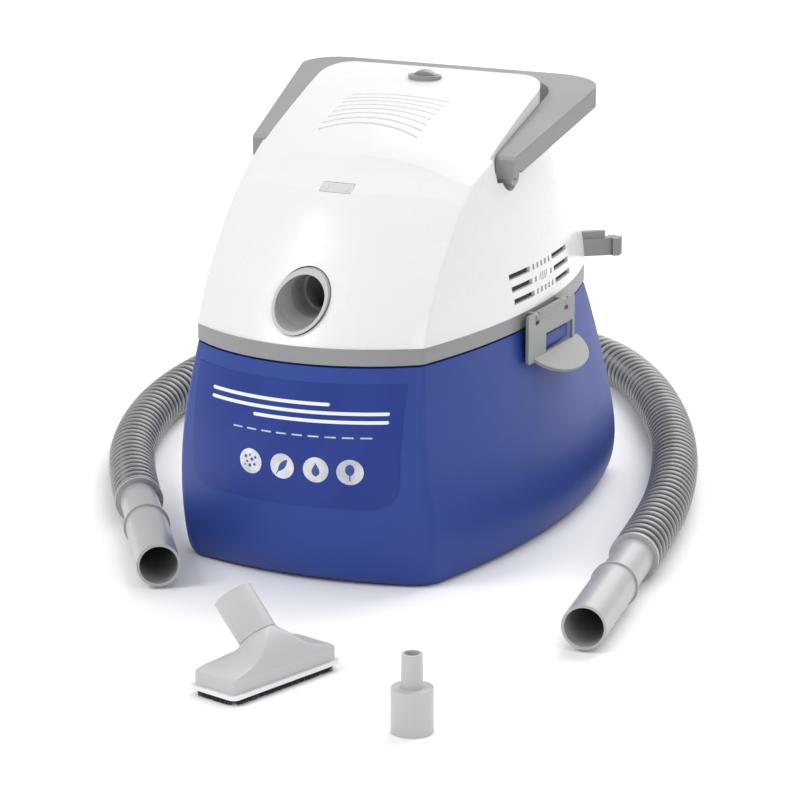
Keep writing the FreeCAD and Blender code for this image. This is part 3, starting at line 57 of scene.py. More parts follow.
class Pictogram(Enum):
    """Plain signs printed on the label discs."""

    DUST = "dust"
    LEAF = "leaf"
    DROP = "drop"
    BALLOON = "balloon"


# ---------------------------------------------------------------- node helpers


class Wiring:
    """Adds nodes to one tree and joins them."""

    def __init__(self, tree: bpy.types.NodeTree) -> None:
        """Keep the tree that the nodes go into."""
        self.tree = tree

    def add(self, kind: str, inputs: dict | None = None, **settings: object) -> bpy.types.Node:
        """Add one node.

        Args:
            kind: The node's type name.
            inputs: Socket name or number, and its value or the socket that feeds it.
            settings: Properties of the node.

        Returns:
            The new node.
        """
        node = self.tree.nodes.new(kind)
        for name, value in settings.items():
            setattr(node, name, value)
        for key, value in (inputs or {}).items():
            if isinstance(value, bpy.types.NodeSocket):
                self.tree.links.new(value, node.inputs[key])
            else:
                node.inputs[key].default_value = value
        return node

    def math(self, operation: str, *values: object) -> bpy.types.NodeSocket:
        """Result of one Math node on numbers or sockets."""
        node = self.add("ShaderNodeMath", dict(enumerate(values)), operation=operation)
        return node.outputs[0]

    def mix(self, mask: object, first: object, second: object) -> bpy.types.NodeSocket:
        """Colour that goes from first to second as the mask goes from 0 to 1.

        Args:
            mask: Number or socket, 0 to 1.
            first: Colour or socket at 0.
            second: Colour or socket at 1.

        Returns:
            The mixed colour's socket.
        """
        node = self.add("ShaderNodeMix", data_type="RGBA")
        for socket, value in zip((node.inputs[0], node.inputs[6], node.inputs[7]), (mask, first, second)):
            if isinstance(value, bpy.types.NodeSocket):
                self.tree.links.new(value, socket)
            else:
                socket.default_value = value
        return node.outputs[2]

    def ramp(self, value: bpy.types.NodeSocket, low: float, high: float) -> bpy.types.NodeSocket:
        """Mask that rises smoothly from 0 at low to 1 at high."""
        node = self.add("ShaderNodeMapRange", {"Value": value, "From Min": low, "From Max": high},
                        interpolation_type="SMOOTHSTEP")
        return node.outputs[0]

    def place(self) -> bpy.types.NodeSocket:
        """Object coordinates of the piece."""
        return self.add("ShaderNodeTexCoord").outputs["Object"]

    def noise(self, **inputs: object) -> bpy.types.NodeSocket:
        """Noise on Object coordinates, or on the Vector given.

        Args:
            inputs: Sockets of the noise by name, each a number or a socket.

        Returns:
            The noise, 0 to 1.
        """
        if "Vector" not in inputs:
            inputs["Vector"] = self.place()
        return self.add("ShaderNodeTexNoise", inputs).outputs[0]

    def relief(self, height: bpy.types.NodeSocket, strength: float, distance: float,
               shader: bpy.types.Node) -> None:
        """Feed a shader's normal from a bump of that height.

        Args:
            height: Height over the surface, 0 to 1.
            strength: Share of the bump that shows.
            distance: Depth in metres that a height of 1 stands for.
            shader: The shader node.
        """
        bump = self.add("ShaderNodeBump", {"Strength": strength, "Distance": distance, "Height": height})
        self.link(bump.outputs[0], shader.inputs["Normal"])

    def link(self, start: bpy.types.NodeSocket, end: bpy.types.NodeSocket) -> None:
        """Join two sockets."""
        self.tree.links.new(start, end)


def rgba(colour: Colour) -> tuple[float, float, float, float]:
    """Colour with full opacity."""
    return (*colour, 1.0)


@dataclass(frozen=True)
class Effect:
    """One shader node group that several finishes share."""

    name: str
    inputs: dict
    outputs: tuple[str, ...]

    def open(self) -> tuple[Wiring, bpy.types.Node, bpy.types.Node]:
        """Make the group with its sockets.

        Returns:
            The wiring of the group, its input node and its output node.
        """
        tree = bpy.data.node_groups.new(self.name, "ShaderNodeTree")
        for label, value in self.inputs.items():
            socket = tree.interface.new_socket(label, in_out="INPUT", socket_type="NodeSocketFloat")
            socket.default_value = value
        for label in self.outputs:
            tree.interface.new_socket(label, in_out="OUTPUT", socket_type="NodeSocketFloat")
        wiring = Wiring(tree)
        return wiring, wiring.add("NodeGroupInput"), wiring.add("NodeGroupOutput")


class Effects:
    """The shared effects: moulding grain, edge wear, settled dust and fine scuffs."""

    TONE_BAND = (0.3, 0.7)
    EDGE_TURN = (0.02, 0.2)
    RUBBED_PATCH = (0.42, 0.62)
    FILM_SLOPE, FILM_PATCH = (0.1, 1.0), (0.38, 0.72)
    SPECK_SLOPE, SPECK_SIZE, SPECK_SCALE = (0.0, 0.6), (0.66, 0.74), 700.0
    SCUFF_LINE = (0.62, 0.7)
    SCUFF_STROKES = ((0.5, (1.0, 6.0, 26.0)), (-0.35, (22.0, 1.5, 5.0)))

    def __init__(self) -> None:
        """Build each group once."""
        self.grain = self.make_grain()
        self.wear = self.make_wear()
        self.dust = self.make_dust()
        self.scuff = self.make_scuff()

    def make_grain(self) -> bpy.types.NodeTree:
        """Fine surface grain and broad drift of tone of a moulding.

        Returns:
            The node group.
        """
        w, inside, outside = Effect("moulding_grain", {"Scale": 900.0, "Drift": 9.0},
                                    ("Height", "Tone")).open()
        fine = w.noise(Scale=inside.outputs["Scale"], Detail=3.0)
        broad = w.noise(Scale=inside.outputs["Drift"], Detail=4.0, Roughness=0.55)
        w.link(fine, outside.inputs["Height"])
        w.link(w.ramp(broad, *self.TONE_BAND), outside.inputs["Tone"])
        return w.tree

    def make_wear(self) -> bpy.types.NodeTree:
        """Mask of rubbed edges, broken up by noise.

        Returns:
            The node group.
        """
        w, inside, outside = Effect("edge_wear", {"Radius": 0.0012, "Breakup": 60.0}, ("Mask",)).open()
        soft = w.add("ShaderNodeBevel", {"Radius": inside.outputs["Radius"]}, samples=4)
        plain = w.add("ShaderNodeNewGeometry").outputs["Normal"]
        turn = w.add("ShaderNodeVectorMath", {0: soft.outputs[0], 1: plain}, operation="DOT_PRODUCT")
        patch = w.noise(Scale=inside.outputs["Breakup"], Detail=5.0)
        edge = w.ramp(w.math("SUBTRACT", 1.0, turn.outputs["Value"]), *self.EDGE_TURN)
        w.link(w.math("MULTIPLY", edge, w.ramp(patch, *self.RUBBED_PATCH)), outside.inputs["Mask"])
        return w.tree

    def make_dust(self) -> bpy.types.NodeTree:
        """Mask of fine dust that settles on upward faces.

        Returns:
            The node group.
        """
        w, inside, outside = Effect("settled_dust", {"Patch": 26.0}, ("Mask",)).open()
        normal = w.add("ShaderNodeNewGeometry").outputs["Normal"]
        up = w.add("ShaderNodeSeparateXYZ", {0: normal}).outputs[2]
        patch = w.noise(Scale=inside.outputs["Patch"], Detail=8.0, Roughness=0.65)
        speck = w.noise(Scale=self.SPECK_SCALE, Detail=2.0)
        film = w.math("MULTIPLY", w.ramp(up, *self.FILM_SLOPE), w.ramp(patch, *self.FILM_PATCH))
        specks = w.math("MULTIPLY", w.ramp(speck, *self.SPECK_SIZE), w.ramp(up, *self.SPECK_SLOPE))
        w.link(w.math("MINIMUM", w.math("ADD", film, specks), 1.0), outside.inputs["Mask"])
        return w.tree

    def make_scuff(self) -> bpy.types.NodeTree:
        """Mask of thin rubbed lines in two directions.

        Returns:
            The node group.
        """
        w, inside, outside = Effect("fine_scuffs", {"Density": 14.0}, ("Mask",)).open()
        masks = []
        for turn, stretch in self.SCUFF_STROKES:
            flow = w.add("ShaderNodeMapping", {"Vector": w.place(), "Rotation": (turn, turn * 0.6, turn),
                                               "Scale": stretch})
            lines = w.noise(Vector=flow.outputs[0], Scale=inside.outputs["Density"], Detail=6.0,
                            Roughness=0.7)
            masks.append(w.ramp(lines, *self.SCUFF_LINE))
        w.link(w.math("MAXIMUM", *masks), outside.inputs["Mask"])
        return w.tree


class Painter:
    """Starts materials that use the shared effects."""

    def __init__(self) -> None:
        """Build the effects."""
        self.effects = Effects()

    def begin(self, name: str) -> tuple[bpy.types.Material, Wiring, bpy.types.Node]:
        """Empty material with a Principled shader.

        Args:
            name: Name of the material.

        Returns:
            The material, the wiring of its tree and the shader node.
        """
        material = bpy.data.materials.new(name)
        material.use_nodes = True
        material.node_tree.nodes.clear()
        w = Wiring(material.node_tree)
        shader = w.add("ShaderNodeBsdfPrincipled")
        exit_node = w.add("ShaderNodeOutputMaterial")
        w.link(shader.outputs[0], exit_node.inputs[0])
        return material, w, shader

    def effect(self, w: Wiring, name: str, **values: float) -> bpy.types.Node:
        """Place one shared effect in a material with its own values.

        Args:
            w: Wiring of the material.
            name: Name of the effect.
            values: Its inputs, by name.

        Returns:
            The group node.
        """
        node = w.add("ShaderNodeGroup", node_tree=getattr(self.effects, name))
        for label, value in values.items():
            node.inputs[label].default_value = value
        return node


# ---------------------------------------------------------------- finishes


@dataclass(frozen=True)
class Moulding:
    """Injection-moulded plastic with grain, worn edges, scuffs and dust."""

    name: str
    colour: Colour
    roughness: float
    shade: float = 0.9
    scale: float = 900.0
    bump: float = 0.06
    wear: float = 0.35
    worn: float = 1.25
    dust: float = 0.12
    scuff: float = 0.08
    coat: float = 0.0
    coat_roughness: float = 0.12
    specular: float = 0.5
    ior: float = 1.5
    paler: float = 0.03
    tone_gloss: float = 0.07
    dust_gloss: float = 0.3
    depth: float = 0.0004
    gloss_lead: float = 0.03

    def build(self, painter: Painter) -> bpy.types.Material:
        """Make the material.

        Args:
            painter: Holder of the shared effects.

        Returns:
            The material.
        """
        material, w, shader = painter.begin(self.name)
        grain = painter.effect(w, "grain", Scale=self.scale)
        wear = painter.effect(w, "wear")
        dust = painter.effect(w, "dust")
        scuff = painter.effect(w, "scuff")
        dark = tuple(c * self.shade for c in self.colour)
        light = tuple(min(1.0, c * self.worn + self.paler) for c in self.colour)
        base = w.mix(grain.outputs["Tone"], rgba(dark), rgba(self.colour))
        base = w.mix(w.math("MULTIPLY", wear.outputs[0], self.wear), base, rgba(light))
        base = w.mix(w.math("MULTIPLY", scuff.outputs[0], self.scuff), base, rgba(light))
        base = w.mix(w.math("MULTIPLY", dust.outputs[0], self.dust), base, rgba(HOUSE_DUST))
        w.link(base, shader.inputs["Base Color"])
        rough = w.math("MULTIPLY_ADD", grain.outputs["Tone"], self.tone_gloss,
                       self.roughness - self.gloss_lead)
        rough = w.math("MULTIPLY_ADD", scuff.outputs[0], self.scuff, rough)
        rough = w.math("MULTIPLY_ADD", dust.outputs[0], self.dust_gloss * self.dust, rough)
        w.link(rough, shader.inputs["Roughness"])
        w.relief(grain.outputs["Height"], self.bump, self.depth, shader)
        shader.inputs["IOR"].default_value = self.ior
        shader.inputs["Specular IOR Level"].default_value = self.specular
        shader.inputs["Coat Weight"].default_value = self.coat
        shader.inputs["Coat Roughness"].default_value = self.coat_roughness
        return material


@dataclass(frozen=True)
class RibbedVinyl:
    """Glossy hose vinyl, rougher in the grooves between its ribs, with painted shade that darkens the grooves
    to near black.
    """

    name: str
    colour: Colour
    # Near-black colour painted into the grooves as shade.
    groove_and_shade: Colour
    # Band of groove depth over which the painted shade comes in.
    painted_shade_band: Pair = (0.12, 0.6)
    roughness: float = 0.24
    shade: float = 0.82
    dust: float = 0.14
    coat: float = 0.35
    coat_roughness: float = 0.15

    def build(self, painter: Painter) -> bpy.types.Material:
        """Make the material.

        Args:
            painter: Holder of the shared effects.

        Returns:
            The material.
        """
        material, w, shader = painter.begin(self.name)
        grain = painter.effect(w, "grain", Scale=500.0, Drift=22.0)
        dust = painter.effect(w, "dust", Patch=40.0)
        depth = w.add("ShaderNodeAttribute", attribute_name="groove_and_shade").outputs["Fac"]
        dark = tuple(c * self.shade for c in self.colour)
        base = w.mix(grain.outputs["Tone"], rgba(dark), rgba(self.colour))
        # Painted shade: the grooves between the ribs go towards the near-black groove colour.
        base = w.mix(w.ramp(depth, *self.painted_shade_band), base, rgba(self.groove_and_shade))
        base = w.mix(w.math("MULTIPLY", dust.outputs[0], self.dust), base, rgba(FLOOR_DUST))
        w.link(base, shader.inputs["Base Color"])
        rough = w.math("MULTIPLY_ADD", depth, 0.3, self.roughness)
        w.link(w.math("MULTIPLY_ADD", grain.outputs["Tone"], 0.08, rough), shader.inputs["Roughness"])
        w.relief(grain.outputs["Height"], 0.05, 0.0005, shader)
        shader.inputs["Coat Weight"].default_value = self.coat
        shader.inputs["Coat Roughness"].default_value = self.coat_roughness
        return material


@dataclass(frozen=True)
class Metal:
    """Metal with fine drawn lines."""

    name: str
    colour: Colour
    roughness: float
    lines: tuple[float, float, float] = (40.0, 40.0, 900.0)
    shade: float = 0.7
    line_gloss: float = 0.2

    def build(self, painter: Painter) -> bpy.types.Material:
        """Make the material.

        Args:
            painter: Holder of the shared effects.

        Returns:
            The material.
        """
        material, w, shader = painter.begin(self.name)
        flow = w.add("ShaderNodeMapping", {"Vector": w.place(), "Scale": self.lines})
        drawn = w.noise(Vector=flow.outputs[0], Scale=3.0, Detail=5.0)
        grain = painter.effect(w, "grain", Scale=400.0, Drift=60.0)
        dark = tuple(c * self.shade for c in self.colour)
        w.link(w.mix(grain.outputs["Tone"], rgba(dark), rgba(self.colour)), shader.inputs["Base Color"])
        rough = w.math("MULTIPLY_ADD", drawn, self.line_gloss, self.roughness - 0.08)
        w.link(rough, shader.inputs["Roughness"])
        w.relief(drawn, 0.12, 0.0002, shader)
        shader.inputs["Metallic"].default_value = 1.0
        return material


@dataclass(frozen=True)
class OpenFoam:
    """Dark open-cell foam."""

    name: str
    colour: Colour
    cell: float = 900.0

    def build(self, painter: Painter) -> bpy.types.Material:
        """Make the material.

        Args:
            painter: Holder of the shared effects.

        Returns:
            The material.
        """
        material, w, shader = painter.begin(self.name)
        cells = w.add("ShaderNodeTexVoronoi", {"Vector": w.place(), "Scale": self.cell},
                      feature="DISTANCE_TO_EDGE")
        open_cell = w.ramp(cells.outputs[0], 0.05, 0.4)
        grain = painter.effect(w, "grain", Scale=1200.0)
        rib = tuple(c * 2.6 + 0.01 for c in self.colour)
        base = w.mix(w.math("MULTIPLY", open_cell, grain.outputs["Tone"]), rgba(rib), rgba(self.colour))
        w.link(base, shader.inputs["Base Color"])
        w.link(w.math("MULTIPLY_ADD", grain.outputs["Tone"], 0.1, 0.85), shader.inputs["Roughness"])
        w.relief(open_cell, 0.8, 0.0008, shader)
        return material


@dataclass(frozen=True)
class PrintedFilm:
    """Satin label film with broad soft arcs in the ink."""

    name: str
    colour: Colour
    arc: Colour
    roughness: float = 0.42
    specular: float = 0.25
    coat: float = 0.05
    coat_roughness: float = 0.2
    dot_share: float = 0.1

    def build(self, painter: Painter) -> bpy.types.Material:
        """Make the material.

        Args:
            painter: Holder of the shared effects.

        Returns:
            The material.
        """
        material, w, shader = painter.begin(self.name)
        place = w.place()
        flow = w.add("ShaderNodeMapping", {"Vector": place, "Location": (0.09, 0.0, -0.19)})
        rings = w.add("ShaderNodeTexWave", {"Vector": flow.outputs[0], "Scale": 5.0, "Distortion": 1.2,
                                            "Detail": 1.0, "Detail Scale": 0.6},
                      wave_type="RINGS", rings_direction="Y")
        dots = w.add("ShaderNodeTexVoronoi", {"Vector": place, "Scale": 1400.0})
        grain = painter.effect(w, "grain", Scale=1600.0)
        base = w.mix(w.ramp(rings.outputs["Fac"], 0.35, 0.75), rgba(self.colour), rgba(self.arc))
        dotted = w.math("MULTIPLY", w.ramp(dots.outputs[0], 0.1, 0.5), self.dot_share)
        base = w.mix(dotted, base, rgba(self.arc))
        w.link(base, shader.inputs["Base Color"])
        rough = w.math("MULTIPLY_ADD", grain.outputs["Tone"], 0.06, self.roughness)
        w.link(rough, shader.inputs["Roughness"])
        w.relief(grain.outputs["Height"], 0.04, 0.0003, shader)
        shader.inputs["Specular IOR Level"].default_value = self.specular
        shader.inputs["Coat Weight"].default_value = self.coat
        shader.inputs["Coat Roughness"].default_value = self.coat_roughness
        return material


@dataclass(frozen=True)
class Enamel:
    """Enamelled winding wire, drawn as fine turns, with painted shade in the dark bands between them."""

    name: str
    colour: Colour
    wires: float = 320.0
    # Share of the colour left in the painted shade between the turns.
    shade: float = 0.35
    metallic: float = 0.7

    def build(self, painter: Painter) -> bpy.types.Material:
        """Make the material.

        Args:
            painter: Holder of the shared effects.

        Returns:
            The material.
        """
        material, w, shader = painter.begin(self.name)
        turns = w.add("ShaderNodeTexWave", {"Vector": w.place(), "Scale": self.wires, "Distortion": 0.6},
                      bands_direction="Z")
        # Painted shade: darker bands where the bump between the turns is low.
        dark = tuple(c * self.shade for c in self.colour)
        w.link(w.mix(turns.outputs["Fac"], rgba(dark), rgba(self.colour)), shader.inputs["Base Color"])
        grain = painter.effect(w, "grain")
        w.link(w.math("MULTIPLY_ADD", grain.outputs["Tone"], 0.1, 0.28), shader.inputs["Roughness"])
        w.relief(turns.outputs["Fac"], 0.5, 0.0004, shader)
        shader.inputs["Metallic"].default_value = self.metallic
        return material


@dataclass(frozen=True)
class Bristle:
    """Dark nylon filament, paler towards its tip."""

    name: str
    root: Colour
    tip: Colour
    tip_top: float = 0.004

    def build(self, painter: Painter) -> bpy.types.Material:
        """Make the material.

        Args:
            painter: Holder of the shared effects.

        Returns:
            The material.
        """
        material, w, shader = painter.begin(self.name)
        height = w.add("ShaderNodeSeparateXYZ", {0: w.place()}).outputs[2]
        grain = painter.effect(w, "grain", Scale=700.0, Drift=400.0)
        blend = w.math("MULTIPLY", w.ramp(height, self.tip_top, 0.0), grain.outputs["Tone"])
        w.link(w.mix(blend, rgba(self.root), rgba(self.tip)), shader.inputs["Base Color"])
        w.link(w.math("MULTIPLY_ADD", grain.outputs["Tone"], 0.15, 0.4), shader.inputs["Roughness"])
        return material


class Finishes:
    """Every finish of the machine, made when it is first asked for."""

    SHELF = (
        Moulding("head_white", (0.755, 0.755, 0.755), 0.26, shade=0.985, bump=0.015, wear=0.0, worn=1.03,
                 dust=0.03, scuff=0.0, coat=0.2),
        Moulding("trim_grey", (0.265, 0.265, 0.265), 0.42, shade=0.93, bump=0.1, worn=1.3),
        Moulding("tank_blue", (0.022, 0.054, 0.275), 0.45, shade=0.9, bump=0.09, wear=0.3, worn=1.5,
                 dust=0.06, scuff=0.04, specular=0.3),
        Moulding("cuff_grey", (0.38, 0.385, 0.39), 0.3, shade=0.93, bump=0.05, coat=0.15),
        Moulding("tool_grey", (0.5, 0.5, 0.495), 0.38, shade=0.94, bump=0.08),
        Moulding("tool_white", (0.78, 0.8, 0.82), 0.35, shade=0.95, bump=0.06),
        Moulding("plate_black", (0.018, 0.018, 0.02), 0.45, shade=0.8, bump=0.12),
        Moulding("foot_rubber", (0.02, 0.02, 0.021), 0.75, shade=0.75, bump=0.4, dust=0.35, scale=500.0),
        Moulding("carbon", (0.02, 0.02, 0.021), 0.6, shade=0.7, bump=0.3),
        Moulding("lens", (0.66, 0.64, 0.63), 0.2, shade=0.95, bump=0.02, wear=0.1, scuff=0.0, coat=0.4),
        Moulding("print_white", (0.8, 0.83, 0.88), 0.3, shade=0.96, wear=0.0, dust=0.05, scuff=0.03),
        Moulding("print_blue", (0.03, 0.06, 0.27), 0.3, shade=0.9, wear=0.0, dust=0.05, scuff=0.03),
        RibbedVinyl("hose_grey", (0.235, 0.24, 0.245), (0.016, 0.017, 0.018)),
        PrintedFilm("label_film", (0.014, 0.036, 0.225), (0.016, 0.04, 0.24)),
        Metal("print_silver", (0.72, 0.74, 0.77), 0.3, lines=(300.0, 40.0, 40.0)),
        Metal("pin_steel", (0.55, 0.55, 0.56), 0.3),
        Metal("screw_zinc", (0.62, 0.62, 0.6), 0.34),
        Metal("fan_alu", (0.7, 0.7, 0.72), 0.38),
        Metal("laminate", (0.22, 0.22, 0.23), 0.5, lines=(10.0, 10.0, 1600.0)),
        Metal("holder_brass", (0.65, 0.48, 0.2), 0.3),
        OpenFoam("foam_dark", (0.02, 0.021, 0.023)),
        Enamel("winding", (0.5, 0.2, 0.07)),
        Bristle("bristle_dark", (0.018, 0.018, 0.02), (0.07, 0.07, 0.075)),
    )

    def __init__(self) -> None:
        """Open the shelf of finishes."""
        self.painter = Painter()
        self.recipes = {recipe.name: recipe for recipe in self.SHELF}
        self.made: dict[str, bpy.types.Material] = {}

    def get(self, name: str) -> bpy.types.Material:
        """The material of that name.

        Args:
            name: Name of a finish on the shelf.

        Returns:
            The material.
        """
        if name not in self.made:
            self.made[name] = self.recipes[name].build(self.painter)
        return self.made[name]

    def dress(self, piece: bpy.types.Object, name: str) -> None:
        """Give a piece one finish in every slot.

        Args:
            piece: The piece.
            name: Name of a finish on the shelf.
        """
        material = self.get(name)
        if not piece.data.materials:
            piece.data.materials.append(material)
        for i in range(len(piece.data.materials)):
            piece.data.materials[i] = material


# ---------------------------------------------------------------- mesh helpers


def add_piece(name: str, mesh: bpy.types.Mesh, body: str) -> bpy.types.Object:
    """Put a finished mesh in the scene.

    Args:
        name: Name of the piece.
        mesh: Its mesh, in the frame's own place.
        body: CAD body that it rides on.

    Returns:
        The new object.
    """
    piece = bpy.data.objects.new(name, mesh)
    bpy.context.scene.collection.objects.link(piece)
    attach(piece, body)
    log.info("%s: %d faces on %s", name, len(mesh.polygons), body)
    return piece


def grown(base: bpy.types.Object, tree: bpy.types.NodeTree, values: dict) -> bpy.types.Mesh:
    """Run a Geometry Nodes tree on an object and keep its result as a plain mesh.

    Args:
        base: Object that carries the input; it is removed.
        tree: The tree.
        values: Named inputs and their values.

    Returns:
        The plain mesh.
    """
    modifier = base.modifiers.new("grow", "NODES")
    modifier.node_group = tree
    for item in tree.interface.items_tree:
        if item.item_type == "SOCKET" and item.in_out == "INPUT" and item.name in values:
            modifier[item.identifier] = values[item.name]
    bpy.context.view_layer.update()
    graph = bpy.context.evaluated_depsgraph_get()
    mesh = bpy.data.meshes.new_from_object(base.evaluated_get(graph), depsgraph=graph)
    base.modifiers.remove(modifier)
    bpy.data.objects.remove(base)
    return mesh


def open_growth(name: str, inputs: dict) -> tuple[Wiring, bpy.types.Node, bpy.types.Node]:
    """Start a Geometry Nodes tree.

    Args:
        name: Name of the tree.
        inputs: Input names with their default, a number or a material.

    Returns:
        The wiring, the input node and the output node.
    """
    tree = bpy.data.node_groups.new(name, "GeometryNodeTree")
    tree.interface.new_socket("Geometry", in_out="INPUT", socket_type="NodeSocketGeometry")
    for label, value in inputs.items():
        kind = {int: "NodeSocketInt", float: "NodeSocketFloat"}.get(type(value), "NodeSocketMaterial")
        socket = tree.interface.new_socket(label, in_out="INPUT", socket_type=kind)
        if kind != "NodeSocketMaterial":
            socket.default_value = value
    tree.interface.new_socket("Geometry", in_out="OUTPUT", socket_type="NodeSocketGeometry")
    w = Wiring(tree)
    return w, w.add("NodeGroupInput"), w.add("NodeGroupOutput")


# ---------------------------------------------------------------- studio


@dataclass(frozen=True)
class Softbox:
    """One square studio light."""

    place: tuple[float, float, float]
    size: float
    power: float


@dataclass
class Studio:
    """Camera, pale floor and soft light."""

    azimuth: float = 25.3
    elevation: float = 15.0
    distance: float = 3.0
    lens: float = 162.0
    sight: float = 50.0
    aim_right: float = 0.0004
    aim_up: float = 0.0998
    sky: Colour = (0.98, 0.99, 1.0)
    sky_power: float = 0.72
    light_aim: float = 0.15
    floor_half: float = 20.0
    floor_colour: Colour = (0.95, 0.95, 0.95)
    floor_roughness: float = 0.9
    boxes: tuple[Softbox, ...] = (Softbox((-1.5, -2.0, 2.3), 1.4, 36.0), Softbox((2.2, -1.2, 1.5), 1.2, 9.0),
                                  Softbox((0.2, 1.4, 2.6), 2.0, 20.0), Softbox((0.5, 3.2, 3.0), 4.0, 90.0))

    def camera(self) -> None:
        """Stand the camera and point it at the machine."""
        a, e = math.radians(self.azimuth), math.radians(self.elevation)
        back = Vector((math.sin(a) * math.cos(e), -math.cos(a) * math.cos(e), math.sin(e)))
        aim = Vector((math.cos(a), math.sin(a), 0.0)) * self.aim_right + Vector((0.0, 0.0, self.aim_up))
        data = bpy.data.cameras.new("camera")
        data.lens = self.lens
        data.clip_end = self.sight
        camera = bpy.data.objects.new("camera", data)
        camera.location = aim + back * self.distance
        camera.rotation_mode = "QUATERNION"
        camera.rotation_quaternion = (-back).to_track_quat("-Z", "Y")
        bpy.context.scene.collection.objects.link(camera)
        bpy.context.scene.camera = camera

    def light(self) -> None:
        """Hang the softboxes and set the sky."""
        for i, box in enumerate(self.boxes):
            data = bpy.data.lights.new(f"softbox_{i}", "AREA")
            data.energy, data.size = box.power, box.size
            lamp = bpy.data.objects.new(f"softbox_{i}", data)
            lamp.location = box.place
            aim = Vector((0.0, 0.0, self.light_aim)) - lamp.location
            lamp.rotation_mode = "QUATERNION"
            lamp.rotation_quaternion = aim.to_track_quat("-Z", "Y")
            bpy.context.scene.collection.objects.link(lamp)
        world = bpy.data.worlds.new("sky")
        world.use_nodes = True
        ground = world.node_tree.nodes["Background"]
        ground.inputs["Color"].default_value = rgba(self.sky)
        ground.inputs["Strength"].default_value = self.sky_power
        bpy.context.scene.world = world
        bpy.context.scene.view_settings.view_transform = "Standard"

    def floor(self) -> None:
        """Lay a wide pale floor."""
        mesh = bpy.data.meshes.new("floor")
        half = self.floor_half
        corners = [(-half, -half, 0), (half, -half, 0), (half, half, 0), (-half, half, 0)]
        mesh.from_pydata(corners, [], [(0, 1, 2, 3)])
        floor = bpy.data.objects.new("floor", mesh)
        bpy.context.scene.collection.objects.link(floor)
        material = bpy.data.materials.new("pale_floor")
        material.use_nodes = True
        shader = material.node_tree.nodes["Principled BSDF"]
        shader.inputs["Base Color"].default_value = rgba(self.floor_colour)
        shader.inputs["Roughness"].default_value = self.floor_roughness
        mesh.materials.append(material)


# ---------------------------------------------------------------- hose


